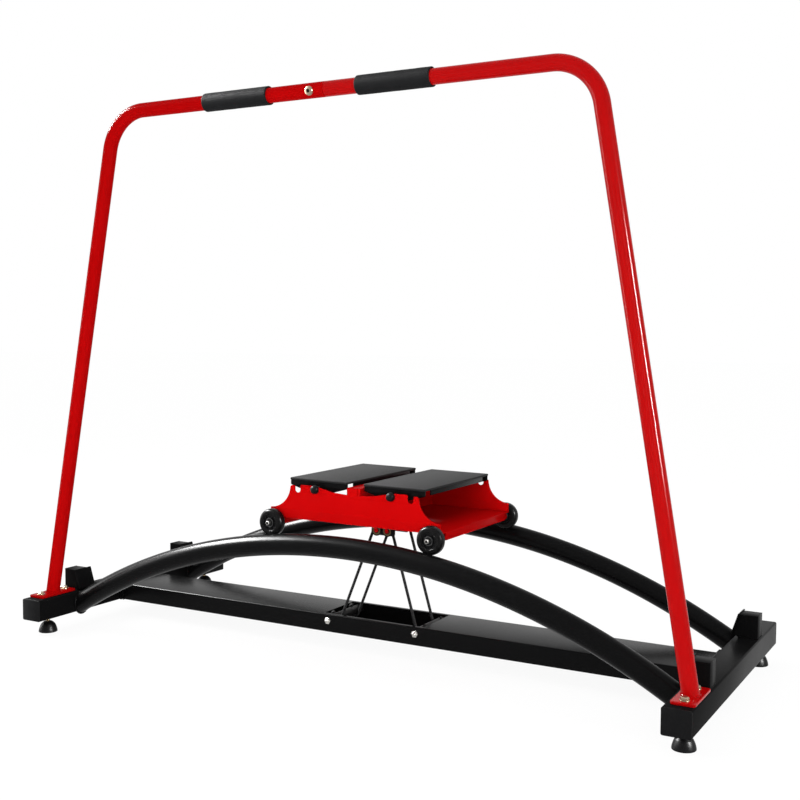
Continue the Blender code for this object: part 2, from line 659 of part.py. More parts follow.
def make_tray():
    outline = side_plate_outline()
    plate_y = TRAY_Y - SHEET / 2
    tray = sheet("carriage_tray", outline, SHEET, (0.0, -plate_y, AXLE_Z), RED_PAINT)
    back = sheet("tray_back_plate", outline, SHEET, (0.0, plate_y, AXLE_Z), cutter=True)
    floor_size = (TRAY_LENGTH, TRAY_WIDTH - SHEET, SHEET)
    floor = block("tray_floor", floor_size, (0.0, 0.0, TRAY_BOTTOM + SHEET / 2), cutter=True)
    boolean(tray, floor, "UNION")
    boolean(tray, back, "UNION")
    lip_width = 2 * (TRAY_Y - TRAY_LIP_INSET)
    for side in (-1, 1):
        lip_size = (SHEET, lip_width, TRAY_LIP)
        lip_place = (side * (TRAY_X - SHEET / 2), 0.0, TRAY_BOTTOM + SHEET / 2 - TRAY_LIP / 2)
        boolean(tray, block(f"tray_lip_{side}", lip_size, lip_place, cutter=True), "UNION")
        pivot = (side * BOARD_CENTRE, 0.0, PIVOT_Z)
        hole(tray, PIVOT_RADIUS + SEAT_GAP, 2 * TRAY_WIDTH, pivot, (0, 1, 0))


def make_center_channel():
    bottom = TRAY_BOTTOM + SHEET + SEAT_GAP
    height = AXLE_Z + CHANNEL_TOP - bottom
    centre = (0.0, 0.0, bottom + height / 2)
    channel = block("center_channel", (CHANNEL_WIDTH, CHANNEL_LENGTH, height), centre, RED_PAINT)
    hollow = (CHANNEL_WIDTH - 2 * SHEET, CHANNEL_LENGTH - 2 * SHEET, height)
    boolean(channel, block("channel_hollow", hollow, (0.0, 0.0, centre[2] - SHEET), cutter=True))


def make_axle_tube(side, label):
    half = WHEEL_Y - WHEEL_WIDTH / 2 - SEAT_GAP
    bore = AXLE_RADIUS + SEAT_GAP
    profile = [(bore, half), (AXLE_TUBE_RADIUS, half), (AXLE_TUBE_RADIUS, -half), (bore, -half)]
    turned(f"axle_tube_{label}", profile, (side * WHEEL_X, 0.0, AXLE_Z), (0, 1, 0), RED_PAINT, closed=True)


# Wheels with dished sides, and the bolts they turn on

def make_wheel(side, end, label):
    half = WHEEL_WIDTH / 2
    bore = AXLE_RADIUS + SEAT_GAP
    corner = (WHEEL_RADIUS - WHEEL_CORNER, WHEEL_TREAD_FLAT / 2)
    top = arc(corner, WHEEL_CORNER, 90, 0, 3)
    bottom = [(radius, -height) for radius, height in reversed(top)]
    dish = half - WHEEL_DISH_DEPTH
    side_up = [(bore, half), (WHEEL_HUB_RADIUS, half), (WHEEL_HUB_RADIUS, dish)]
    side_up += [(WHEEL_DISH_RADIUS, dish), (WHEEL_DISH_RADIUS + WHEEL_DISH_DEPTH / 2, half)]
    side_down = [(radius, -height) for radius, height in reversed(side_up)]
    place = (side * WHEEL_X, end * WHEEL_Y, AXLE_Z)
    turned(f"wheel_{label}", side_up + top + bottom + side_down, place, (0, end, 0), TYRE, closed=True)
    seat = half + SEAT_GAP
    profile = [
        (0.0, seat + AXLE_NUT_HEIGHT),
        (AXLE_NUT_RADIUS, seat + AXLE_NUT_HEIGHT),
        (AXLE_NUT_RADIUS, seat),
        (AXLE_RADIUS, seat),
        (AXLE_RADIUS, seat - AXLE_BOLT_LENGTH),
        (0.0, seat - AXLE_BOLT_LENGTH),
    ]
    turned(f"axle_bolt_{label}", profile, place, (0, end, 0), ZINC, SMALL_STEPS)


# Footboards with hinge flanges, and the rods they rock on

def make_footboard(side, label):
    size = (BOARD_WIDTH, BOARD_LENGTH, BOARD_THICKNESS)
    board_z = AXLE_Z + BOARD_UNDERSIDE + BOARD_THICKNESS / 2 - PIVOT_Z
    pivot = bpy.data.objects.new(f"footboard_pivot_{label}", None)
    PARTS.objects.link(pivot)
    pivot.location = (side * BOARD_CENTRE, 0.0, PIVOT_Z)
    board = block(f"footboard_{label}", size, (0.0, BOARD_Y, board_z), BLACK_PAINT, edge=BOARD_EDGE)
    board.parent = pivot
    under = board_z - BOARD_THICKNESS / 2
    lap = BOARD_THICKNESS / 2
    outline = [
        (-FLANGE_HALF_TOP, under + lap),
        (-FLANGE_HALF_TOP, under - RIM_DEPTH),
        (-FLANGE_HALF_BOTTOM, under - FLANGE_DROP),
        (FLANGE_HALF_BOTTOM, under - FLANGE_DROP),
        (FLANGE_HALF_TOP, under - RIM_DEPTH),
        (FLANGE_HALF_TOP, under + lap),
    ]
    rim_size = (FLANGE_THICKNESS, BOARD_LENGTH - 2 * RIM_SETBACK, RIM_DEPTH + lap)
    for way in (-1, 1):
        rim_place = (way * (FLANGE_HALF_TOP - FLANGE_THICKNESS / 2), BOARD_Y, under + lap - rim_size[2] / 2)
        rim = block(f"{board.name}_rim_{way}", rim_size, rim_place, cutter=True)
        rim.parent = pivot
        boolean(board, rim, "UNION")
    for end in (-1, 1):
        flange_y = BOARD_Y + end * (BOARD_LENGTH / 2 - BOARD_EDGE - FLANGE_THICKNESS / 2)
        flange = sheet(f"{board.name}_flange_{end}", outline, FLANGE_THICKNESS, (0.0, flange_y, 0.0), cutter=True)
        flange.parent = pivot
        boolean(board, flange, "UNION")
    bore = rod(f"{board.name}_bore", PIVOT_RADIUS + SEAT_GAP, 2 * BOARD_LENGTH, (0, 0, 0), (0, 1, 0), cutter=True)
    bore.parent = pivot
    boolean(board, bore)


def make_pivot_rod(side, label):
    seat = TRAY_Y + SEAT_GAP
    tip = seat + PIVOT_CAP_LENGTH
    cap = [
        (0.0, tip),
        (PIVOT_CAP_RADIUS * 0.6, tip - PIVOT_CAP_LENGTH * 0.1),
        (PIVOT_CAP_RADIUS * 0.9, tip - PIVOT_CAP_LENGTH * 0.4),
        (PIVOT_CAP_RADIUS, seat),
        (PIVOT_RADIUS, seat),
    ]
    profile = cap + [(radius, -height) for radius, height in reversed(cap)]
    turned(f"pivot_rod_{label}", profile, (side * BOARD_CENTRE, 0.0, PIVOT_Z), (0, 1, 0), BLACK_STEEL, SMALL_STEPS)


# Pulleys that lead the cords under the carriage

def make_pulley_bracket():
    top = TRAY_BOTTOM - SEAT_GAP
    ear_y = CORD_Y - PULLEY_WIDTH / 2 - BRACKET_PLATE / 2 - SEAT_GAP
    foot = PULLEY_Z - PULLEY_RADIUS
    roof_size = (BRACKET_LENGTH, 2 * ear_y + BRACKET_PLATE, BRACKET_PLATE)
    bracket = block("pulley_bracket", roof_size, (0.0, 0.0, top - BRACKET_PLATE / 2), BLACK_PAINT)
    for end in (-1, 1):
        ear_size = (BRACKET_LENGTH, BRACKET_PLATE, top - foot)
        ear = block(f"bracket_ear_{end}", ear_size, (0.0, end * ear_y, (top + foot) / 2), cutter=True)
        boolean(bracket, ear, "UNION")
    for side in (-1, 1):
        pin = (side * PULLEY_X, 0.0, PULLEY_Z)
        hole(bracket, PULLEY_PIN_RADIUS + SEAT_GAP, 4 * CORD_SPACING, pin, (0, 1, 0))


def make_pulley_pin(side, label):
    seat = CORD_Y + PULLEY_WIDTH / 2 + SEAT_GAP
    head = seat + PULLEY_PIN_RADIUS / 2
    end_cap = [(0.0, head), (PULLEY_PIN_HEAD, head), (PULLEY_PIN_HEAD, seat), (PULLEY_PIN_RADIUS, seat)]
    profile = end_cap + [(radius, -height) for radius, height in reversed(end_cap)]
    turned(f"pulley_pin_{label}", profile, (side * PULLEY_X, 0.0, PULLEY_Z), (0, 1, 0), RED_PAINT, SMALL_STEPS)


def make_pulley(side, end, label):
    half = PULLEY_WIDTH / 2
    bore = PULLEY_PIN_RADIUS + SEAT_GAP
    rim = PULLEY_WIDTH / 8
    throat = CORD_RADIUS + SEAT_GAP
    upper = [(bore, half), (PULLEY_RADIUS, half), (PULLEY_RADIUS, half - rim)]
    upper += [(PULLEY_GROOVE_RADIUS + throat, throat), (PULLEY_GROOVE_RADIUS, throat * 0.75)]
    lower = [(radius, -height) for radius, height in reversed(upper)]
    place = (side * PULLEY_X, end * CORD_Y, PULLEY_Z)
    turned(f"pulley_{label}", upper + lower, place, (0, 1, 0), PLASTIC, TUBE_SIDES, closed=True)


# Elastic cords: round one sleeve, up, over both pulleys, down and round the other sleeve

def crossed_tangent(lower, lower_radius, upper, upper_radius):
    """Angles in degrees at which a line crossing between two circles touches each of them."""
    across = upper[0] - lower[0]
    up = upper[1] - lower[1]
    swing = math.degrees(math.acos((lower_radius + upper_radius) / math.hypot(across, up)))
    toward = math.degrees(math.atan2(up, across))
    return toward - swing, toward - swing + 180


def make_cord(end, label):
    wrap = CORD_SLEEVE_RADIUS + CORD_RADIUS + SEAT_GAP
    over = PULLEY_GROOVE_RADIUS + CORD_RADIUS + SEAT_GAP
    anchor = (-CORD_BOLT_X, CORD_BOLT_Z)
    halves = []
    for side in (-1, 1):
        across, up = rolled(side * PULLEY_X, PULLEY_Z)
        pulley = (-side * across, up)
        leave, arrive = crossed_tangent(anchor, wrap, pulley, over)
        half = arc(anchor, wrap, leave - math.degrees(CORD_WRAP), leave, 14)
        half += arc(pulley, over, arrive, 90, 6)
        halves.append(half)
    flat = halves[0] + [(-across, up) for across, up in reversed(halves[1])]
    points = [(across, end * CORD_Y, up) for across, up in flat]
    obj = link(baked(f"elastic_cord_{label}", path_curve(points, CORD_RADIUS, 8, True)), CORD)
    shade_round(obj.data)


# The carriage is built at the middle of the rails, then rolled along them to where it rests

def rolled(across, up):
    height = up - ARC_CENTRE_Z
    sine, cosine = math.sin(REST_ROLL), math.cos(REST_ROLL)
    return across * cosine + height * sine, ARC_CENTRE_Z + height * cosine - across * sine


def roll_to_rest(pieces):
    bpy.context.view_layer.update()
    depsgraph = bpy.context.evaluated_depsgraph_get()
    meshes = [bpy.data.meshes.new_from_object(piece.evaluated_get(depsgraph)) for piece in pieces]
    centre = Matrix.Translation((0.0, 0.0, ARC_CENTRE_Z))
    turn = centre @ Matrix.Rotation(REST_ROLL, 4, "Y") @ centre.inverted()
    for piece, mesh in zip(pieces, meshes):
        piece.modifiers.clear()
        piece.data = mesh
        carrier = piece.parent or piece
        carrier.matrix_basis = turn @ carrier.matrix_basis


# Assembly

for side, side_label in ((-1, "left"), (1, "right")):
    make_crossbar(side, side_label)
    make_cord_anchor(side, side_label)
    make_axle_tube(side, side_label)
    make_footboard(side, side_label)
    make_pivot_rod(side, side_label)
    make_pulley_pin(side, side_label)
    for end, end_label in ((-1, "front"), (1, "back")):
        label = f"{side_label}_{end_label}"
        make_stop(side, end, label)
        make_foot(side, end, label)
        make_wheel(side, end, label)
        make_pulley(side, end, label)

for end, end_label in ((-1, "front"), (1, "back")):
    make_rail(end, end_label)
    make_cord(end, end_label)

make_beam()
make_hoop_joint(make_hoop_half(-1, "left"))
make_hoop_half(1, "right")
make_grip(-GRIP_LEFT, "left")
make_grip(GRIP_RIGHT, "right")
make_tray()
make_center_channel()
make_pulley_bracket()

CARRIAGE_NAMES = ("carriage", "center_channel", "axle", "wheel", "footboard", "pivot_rod", "pulley")
roll_to_rest([piece for piece in PARTS.objects if piece.type == "MESH" and piece.name.startswith(CARRIAGE_NAMES)])
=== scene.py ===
from math import acos, asin, atan2, cos, degrees, hypot, pi, radians, sin, sqrt, tan

import bmesh
import bpy
from mathutils import Matrix, Vector, noise


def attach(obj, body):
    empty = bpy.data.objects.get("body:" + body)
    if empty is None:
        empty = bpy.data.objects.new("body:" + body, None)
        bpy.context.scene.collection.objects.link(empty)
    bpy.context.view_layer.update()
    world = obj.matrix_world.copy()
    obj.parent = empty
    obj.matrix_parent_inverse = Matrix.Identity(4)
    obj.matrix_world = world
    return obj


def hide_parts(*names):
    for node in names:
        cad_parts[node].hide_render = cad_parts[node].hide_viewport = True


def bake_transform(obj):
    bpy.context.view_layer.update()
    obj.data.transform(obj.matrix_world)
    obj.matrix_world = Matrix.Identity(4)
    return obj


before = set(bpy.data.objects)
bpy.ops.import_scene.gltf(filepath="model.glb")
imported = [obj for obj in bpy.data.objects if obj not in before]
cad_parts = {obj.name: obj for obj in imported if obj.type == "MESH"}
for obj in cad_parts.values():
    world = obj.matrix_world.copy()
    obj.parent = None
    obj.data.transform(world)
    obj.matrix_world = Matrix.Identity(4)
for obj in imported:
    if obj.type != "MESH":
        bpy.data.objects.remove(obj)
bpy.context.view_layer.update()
print("frame loaded")


# Camera, at the photograph's place: metres, radians and the lens for a 36 mm sensor

cameraView = {"place": (1.547, -2.681, 0.869), "turn": 0.5128, "down": 0.0617, "roll": 0.0058, "lens": 51.65}


def makeCamera(v):
    ahead = Vector((-sin(v["turn"]) * cos(v["down"]), cos(v["turn"]) * cos(v["down"]), -sin(v["down"])))
    right = Vector((cos(v["turn"]), sin(v["turn"]), 0))
    up = right.cross(ahead)
    tilted = (right + up * v["roll"]).normalized()
    up = tilted.cross(ahead)
    camera = bpy.data.objects.new("camera", bpy.data.cameras.new("camera"))
    bpy.context.scene.collection.objects.link(camera)
    camera.data.lens = v["lens"]
    camera.data.sensor_width = 36
    turn = Matrix((tilted, up, -ahead)).transposed()
    camera.matrix_world = Matrix.Translation(v["place"]) @ turn.to_4x4()
    bpy.context.scene.camera = camera


makeCamera(cameraView)
bpy.context.scene.view_settings.view_transform = "Standard"


# Shader maths: a wrapped socket adds Math nodes, and NodeTree.node makes any other node

class Shade:
    def __init__(self, tree, socket):
        self.tree = tree
        self.socket = socket

    def maths(self, operation, left, right=0.0):
        made = self.tree.nodes.new("ShaderNodeMath")
        made.operation = operation
        for place, value in zip(made.inputs, (left, right)):
            if isinstance(value, Shade):
                self.tree.links.new(value.socket, place)
            else:
                place.default_value = value
        return Shade(self.tree, made.outputs[0])

    def __add__(self, other):
        return self.maths("ADD", self, other)

    def __sub__(self, other):
        return self.maths("SUBTRACT", self, other)

    def __rsub__(self, other):
        return self.maths("SUBTRACT", other, self)

    def __mul__(self, other):
        return self.maths("MULTIPLY", self, other)

    __radd__ = __add__
    __rmul__ = __mul__

    def clamped(self):
        return self.maths("MAXIMUM", self.maths("MINIMUM", self, 1.0), 0.0)

    def power(self, exponent):
        return self.maths("POWER", self, exponent)

    def sine(self):
        return self.maths("SINE", self)

    def larger(self, other):
        return self.maths("MAXIMUM", self, other)


class NodeTree:
    def __init__(self, tree):
        self.tree = tree

    def put(self, socket, value):
        if isinstance(value, Shade):
            self.tree.links.new(value.socket, socket)
        else:
            socket.default_value = value

    def node(self, kind, settings=None, values=None, out=0):
        made = self.tree.nodes.new(kind)
        for key, value in (settings or {}).items():
            setattr(made, key, value)
        for key, value in (values or {}).items():
            self.put(made.inputs[key], value)
        return Shade(self.tree, made.outputs[out])

    def inView(self):  # 1 for what the camera sees, also in a reflection or through glass
        rays = ("Is Camera Ray", "Is Glossy Ray", "Is Transmission Ray")
        camera, glossy, through = (self.node("ShaderNodeLightPath", out=ray) for ray in rays)
        return (camera + glossy + through).clamped()


class Finish(NodeTree):
    def __init__(self, name, values):
        self.material = bpy.data.materials.new(name)
        self.material.use_nodes = True
        super().__init__(self.material.node_tree)
        self.slot = values["slot"]
        self.values = values
        self.shader = self.tree.nodes["Principled BSDF"]
        self.put(self.shader.inputs["Specular IOR Level"], values.get("shine", 0.5))
        self.put(self.shader.inputs["Metallic"], values.get("metal", 0.0))
        self.coords = self.node("ShaderNodeTexCoord", out="Object")

    def grain(self, scale, detail, rough=0.5, stretch=None):
        where = self.coords
        if stretch:
            where = self.node("ShaderNodeVectorMath", {"operation": "MULTIPLY"}, {0: where, 1: stretch})
        values = {"Vector": where, "Scale": scale, "Detail": detail, "Roughness": rough}
        return self.node("ShaderNodeTexNoise", None, values)

    def cells(self, scale, feature="F1"):
        values = {"Vector": self.coords, "Scale": scale}
        return self.node("ShaderNodeTexVoronoi", {"feature": feature}, values, "Distance")

    def blend(self, share, low, high):
        values = {0: share, 6: self.colour(low), 7: self.colour(high)}
        return self.node("ShaderNodeMix", {"data_type": "RGBA"}, values, 2)

    def mixed(self, share):
        return self.blend(share, *self.values["colours"])

    def colour(self, value):
        return value if isinstance(value, Shade) else (*value, 1)

    def upward(self):
        normal = self.node("ShaderNodeNewGeometry", out="Normal")
        return self.node("ShaderNodeSeparateXYZ", None, {0: normal}, "Z").clamped()

    def dust(self, grain):
        return self.upward() * (grain - self.values["dustFree"]).clamped() * self.values["dust"]

    def look(self, colour, pattern, height):
        least, spread = self.values["rough"]
        depth, strength = self.values["bump"]
        self.put(self.shader.inputs["Base Color"], self.colour(colour))
        self.put(self.shader.inputs["Roughness"], least + pattern * spread)
        bump = {"Height": height, "Distance": depth, "Strength": strength}
        self.put(self.shader.inputs["Normal"], self.node("ShaderNodeBump", None, bump))
        return self


# Finishes: a pattern mixes the two colours, roughness is its least and what the pattern adds, and
# a bump is its depth in metres and its strength

coats = {
    "redPaint": {
        "slot": "red_paint", "shine": 0.05, "rough": (0.11, 0.06), "bump": (0.0003, 0.03),
        "colours": ((0.46, 0.0012, 0.0016), (0.56, 0.0030, 0.0036)), "speck": (0.36, 0.002, 0.003),
    },
    "blackPaint": {
        "slot": "black_paint", "shine": 0.045, "rough": (0.20, 0.10), "bump": (0.00012, 0.22),
        "colours": ((0.0034, 0.0034, 0.0036), (0.14, 0.14, 0.14)), "dust": 0.05, "dustFree": 0.46,
    },
    "barPaint": {
        "slot": "black_paint", "shine": 0.010, "rough": (0.24, 0.12), "bump": (0.00012, 0.22),
        "colours": ((0.0050, 0.0050, 0.0052), (0.14, 0.14, 0.14)), "dust": 0.08, "dustFree": 0.40,
    },
    "boardTop": {
        "slot": "black_paint", "shine": 0.06, "rough": (0.56, 0.2), "bump": (0.0002, 0.30),
        # the first colour is painted shade in the mesh grooves, the second is the film
        "colours": ((0.020, 0.020, 0.0205), (0.036, 0.036, 0.0365)),
        "scuffed": (0.075, 0.075, 0.074), "edge": (0.0125, 0.0125, 0.013),
    },
    "zincSteel": {
        "slot": "zinc_steel", "metal": 1.0, "rough": (0.16, 0.22), "bump": (0.00008, 0.25),
        "colours": ((0.46, 0.38, 0.27), (0.22, 0.18, 0.125)),
    },
    "dullSteel": {
        "slot": "black_steel", "metal": 0.9, "rough": (0.22, 0.2), "bump": (0.00008, 0.3),
        "colours": ((0.10, 0.10, 0.10), (0.045, 0.045, 0.046)), "patches": 120, "grit": 800,
    },
    "blackSteel": {
        "slot": "black_steel", "shine": 0.10, "rough": (0.26, 0.22), "bump": (0.00010, 0.30),
        "colours": ((0.006, 0.006, 0.0066), (0.016, 0.0155, 0.015)), "patches": 90, "grit": 700,
    },
    "foamGrip": {
        "slot": "foam_grip", "shine": 0.02, "rough": (0.46, 0.20), "bump": (0.0004, 0.45),
        # the first colour is partly painted shade in the pores
        "colours": ((0.0050, 0.0052, 0.0057), (0.020, 0.0205, 0.0215)),
    },
    "wheelTyre": {
        "slot": "wheel_tyre", "shine": 0.06, "rough": (0.20, 0.14), "bump": (0.00012, 0.25),
        "colours": ((0.0040, 0.0040, 0.0044), (0.0085, 0.0082, 0.0080)), "patches": 80, "grit": 600,
    },
    "blackPlastic": {
        "slot": "black_plastic", "shine": 0.06, "rough": (0.34, 0.16), "bump": (0.00010, 0.35),
        "colours": ((0.0038, 0.0038, 0.0042), (0.0080, 0.0080, 0.0085)),
    },
    "footRubber": {
        "slot": "foot_rubber", "shine": 0.08, "rough": (0.26, 0.20), "bump": (0.00012, 0.35),
        "colours": ((0.0060, 0.0060, 0.0065), (0.10, 0.10, 0.10)), "dust": 0.12, "dustFree": 0.42,
    },
    "cordCover": {
        "slot": "elastic_cord", "shine": 0.10, "rough": (0.60, 0.15), "bump": (0.0003, 0.7),
        # the first colour is painted shade in the pits of the braid
        "colours": ((0.003, 0.003, 0.0034), (0.014, 0.014, 0.0148)), "strands": 8, "lay": 1500.0,
    },
    "bearingBrass": {
        "slot": "zinc_steel", "metal": 1.0, "rough": (0.28, 0.2), "bump": (0.00008, 0.3),
        "colours": ((0.16, 0.115, 0.06), (0.09, 0.062, 0.034)), "patches": 160, "grit": 900,
    },
}
coats["satinRed"] = {**coats["redPaint"], "shine": 0.004}
coats["nutSteel"] = {**coats["zincSteel"], "colours": ((0.62, 0.61, 0.58), (0.32, 0.31, 0.29))}


def makeRedPaint(name):
    finish = Finish(name, coats[name])
    drift = finish.grain(9, 3)
    specks = (finish.grain(420, 2) - 0.62).clamped() * 2.2
    peel = finish.grain(260, 2) * 0.7 + finish.grain(900, 1) * 0.3
    return finish.look(finish.blend(specks, finish.mixed(drift), coats[name]["speck"]), drift, peel)


def makeBlackPaint(name):
    finish = Finish(name, coats[name])
    drift = finish.grain(7, 4)
    sparkle = (finish.cells(1500) * -1.0 + 0.36).clamped() * 1.4
    pale = finish.dust(finish.grain(24, 5, 0.62)) + sparkle * 0.04
    return finish.look(finish.mixed(pale), drift + sparkle, finish.grain(1300, 2))


def makeBarPaint(name):
    finish = Finish(name, coats[name])
    dust = finish.dust(finish.grain(24, 5, 0.62))
    return finish.look(finish.mixed(dust), finish.grain(7, 4), finish.grain(1300, 2))


def makeBoardTop(name):
    v = coats[name]
    finish = Finish(name, v)
    # The mesh lines are grooves in the bump, and their darker colour is painted shade in the grooves
    mesh = (finish.cells(620, "DISTANCE_TO_EDGE") * 14.0).clamped()
    scuffs = (finish.grain(26, 6, 0.66, (1.0, 0.35, 1.0)) - 0.54).clamped() * 0.30
    flat = finish.upward().power(8.0)
    top = finish.blend(scuffs, finish.mixed(mesh), v["scuffed"])
    return finish.look(finish.blend(flat, v["edge"], top), scuffs - flat * 0.2, mesh * flat)


def makeBrightSteel(name):
    finish = Finish(name, coats[name])
    streaks = finish.grain(500, 3, 0.6, (1.0, 1.0, 0.12))
    return finish.look(finish.mixed(finish.grain(60, 4)), streaks, streaks)


def makePatchy(name):
    v = coats[name]
    finish = Finish(name, v)
    patches = finish.grain(v["patches"], 4)
    return finish.look(finish.mixed(patches), patches, finish.grain(v["grit"], 2))


def makeFoam(name):
    finish = Finish(name, coats[name])
    # The pores are real dents in the bump, and their darker colour is painted shade; the grain mottle is
    # real tone
    poresAndShade = (finish.cells(1150) * 1.5).clamped()
    mottleAndPoreShade = poresAndShade * 0.6 + finish.grain(38, 4) * 0.4
    return finish.look(finish.mixed(mottleAndPoreShade), poresAndShade, poresAndShade * 0.7 + finish.grain(300, 3) * 0.5)


def makePlastic(name):
    finish = Finish(name, coats[name])
    drift = finish.grain(50, 3)
    return finish.look(finish.mixed(drift), drift, finish.cells(1600))


def makeRubber(name):
    finish = Finish(name, coats[name])
    dust = finish.dust(finish.grain(110, 4))
    return finish.look(finish.mixed(dust), finish.grain(60, 4), finish.grain(900, 2))


def makeBraid(name):
    v = coats[name]
    finish = Finish(name, v)
    place = finish.node("ShaderNodeUVMap", out="UV")
    along, around = (finish.node("ShaderNodeSeparateXYZ", None, {0: place}, axis) for axis in "XY")
    lay = along * v["lay"]
    turn = around * (v["strands"] * 2 * pi)
    # The braid is the bump, and its darker colour in the pits between the strands is painted shade
    braid = (lay + turn).sine().larger((lay - turn).sine()) * 0.5 + 0.5
    return finish.look(finish.mixed(braid), braid, braid)


redPaint = makeRedPaint("redPaint")
satinRed = makeRedPaint("satinRed")
blackPaint = makeBlackPaint("blackPaint")
barPaint = makeBarPaint("barPaint")
boardTop = makeBoardTop("boardTop")
zincSteel = makeBrightSteel("zincSteel")
nutSteel = makeBrightSteel("nutSteel")
dullSteel = makePatchy("dullSteel")
blackSteel = makePatchy("blackSteel")
foamGrip = makeFoam("foamGrip")
wheelTyre = makePatchy("wheelTyre")
blackPlastic = makePlastic("blackPlastic")
footRubber = makeRubber("footRubber")
cordCover = makeBraid("cordCover")
bearingBrass = makePatchy("bearingBrass")
print("finishes made")


# Shape helpers: lengths are in metres, and piece() turns a bmesh into an object

leftRight = ((-1, "left"), (1, "right"))
frontBack = ((-1, "front"), (1, "back"))
alongAxis = {
    "x": Matrix(((0, 0, 1, 0), (1, 0, 0, 0), (0, 1, 0, 0), (0, 0, 0, 1))),
    "y": Matrix.Rotation(pi / 2, 4, "X"),
    "z": Matrix.Identity(4),
}
carriageBodies = ("carriage", "wheel_", "footboard_", "pulley_")


def piece(name, shape, finish, body, stands=(), sharp=32):
    if body and body.startswith(carriageBodies):  # the carriage rests a little along the rails
        moved(shape, carriageTurn)
    bmesh.ops.recalc_face_normals(shape, faces=shape.faces)
    mesh = bpy.data.meshes.new(name)
    shape.to_mesh(mesh)
    shape.free()
    mesh.shade_smooth()
    mesh.set_sharp_from_angle(angle=radians(sharp))
    mesh.materials.append(finish.material)
    made = bpy.data.objects.new(name, mesh)
    bpy.context.scene.collection.objects.link(made)
    if body:
        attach(made, body)
    if stands:
        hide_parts(*stands)
    return made


def joined(*shapes):
    whole = bmesh.new()
    for shape in shapes:
        part = bpy.data.meshes.new("part")
        shape.to_mesh(part)
        shape.free()
        whole.from_mesh(part)
        bpy.data.meshes.remove(part)
    return whole


def moved(shape, matrix):
    bmesh.ops.transform(shape, matrix=matrix, verts=shape.verts)
    return shape


def soften(outline, radius, steps=3, closed=True):  # rounds the corners that aren't nearly straight
    points = [Vector(p) for p in outline]
    tiny = 1e-7
    path = []
    for i, corner in enumerate(points):
        before = points[i - 1] - corner
        after = points[(i + 1) % len(points)] - corner
        atEnd = not closed and i in (0, len(points) - 1)
        if atEnd or min(before.length, after.length) < tiny or before.angle(after) > radians(170):
            path.append(corner)
            continue
        half = before.angle(after) / 2
        reach = min(radius / tan(half), before.length * 0.45, after.length * 0.45)
        middle = corner + (before.normalized() + after.normalized()).normalized() * reach / cos(half)
        first = corner + before.normalized() * reach - middle
        last = corner + after.normalized() * reach - middle
        turn = first.angle(last)
        for k in range(steps + 1):
            share = k / steps
            path.append(middle + (first * sin(turn * (1 - share)) + last * sin(turn * share)) / sin(turn))
    return path


def inset(outline, by):  # moves every side inwards
    count = len(outline)
    area = sum(outline[i - 1][0] * outline[i][1] - outline[i][0] * outline[i - 1][1] for i in range(count))
    way = 1 if area > 0 else -1
    path = []
    for i, point in enumerate(outline):
        back = (Vector(point) - Vector(outline[i - 1])).normalized()
        ahead = (Vector(outline[(i + 1) % count]) - Vector(point)).normalized()
        middle = (back + ahead).normalized()
        path.append(Vector(point) + Vector((-middle.y, middle.x)) * by * way)
    return path


def slab(outlines, depth, axis, centre, edge):  # the outlines after the first are holes
    curve = bpy.data.curves.new("outline", "CURVE")
    curve.dimensions = "2D"
    curve.fill_mode = "BOTH"
    curve.extrude = depth / 2 - edge
    curve.bevel_depth = edge
    curve.bevel_resolution = 1
    for i, outline in enumerate(outlines):
        path = inset(outline, -edge if i else edge) if edge else outline
        spline = curve.splines.new("POLY")
        spline.points.add(len(path) - 1)
        spline.use_cyclic_u = True
        for point, place in zip(spline.points, path):
            point.co = (place[0], place[1], 0, 1)
    source = bpy.data.objects.new("outline", curve)
    bpy.context.scene.collection.objects.link(source)
    bpy.context.view_layer.update()
    mesh = bpy.data.meshes.new_from_object(source.evaluated_get(bpy.context.evaluated_depsgraph_get()))
    bpy.data.objects.remove(source, do_unlink=True)
    shape = bmesh.new()
    shape.from_mesh(mesh)
    bpy.data.meshes.remove(mesh)
    bmesh.ops.remove_doubles(shape, verts=shape.verts, dist=0.000001)
    return moved(shape, Matrix.Translation(centre) @ alongAxis[axis])


def rectangle(width, height, corner=0.0, steps=4):
    w, h = width / 2, height / 2
    outline = [(-w, -h), (w, -h), (w, h), (-w, h)]
    return soften(outline, corner, steps) if corner else [Vector(p) for p in outline]


def fullTurn(steps):  # angles all the way round
    return [2 * pi * k / steps for k in range(steps)]


def circle(radius, steps):
    return [Vector((radius * cos(a), radius * sin(a))) for a in fullTurn(steps)]


def arc(centre, radius, start, end, steps):
    angles = [radians(start + (end - start) * i / steps) for i in range(steps + 1)]
    return [(centre[0] + radius * cos(a), centre[1] + radius * sin(a)) for a in angles]


def denser(outline, step):  # more points along a closed outline, for a weld
    path = []
    for i, point in enumerate(outline):
        after = outline[(i + 1) % len(outline)]
        count = max(1, int((after - point).length / step))
        path += [point.lerp(after, k / count) for k in range(count)]
    return path


def mirrored(profile):  # adds its mirror image below
    return profile + [(r, -h) for r, h in reversed(profile)]


def wallSection(bore, radius, low, high):  # of a round tube
    return [(bore, low), (radius, low), (radius, high), (bore, high)]


def block(size, centre, edge, segments=3):
    shape = bmesh.new()
    bmesh.ops.create_cube(shape, size=1, matrix=Matrix.LocRotScale(Vector(centre), None, Vector(size)))
    bmesh.ops.bevel(shape, geom=shape.edges[:], offset=edge, segments=segments, profile=0.5, affect="EDGES")
    return shape


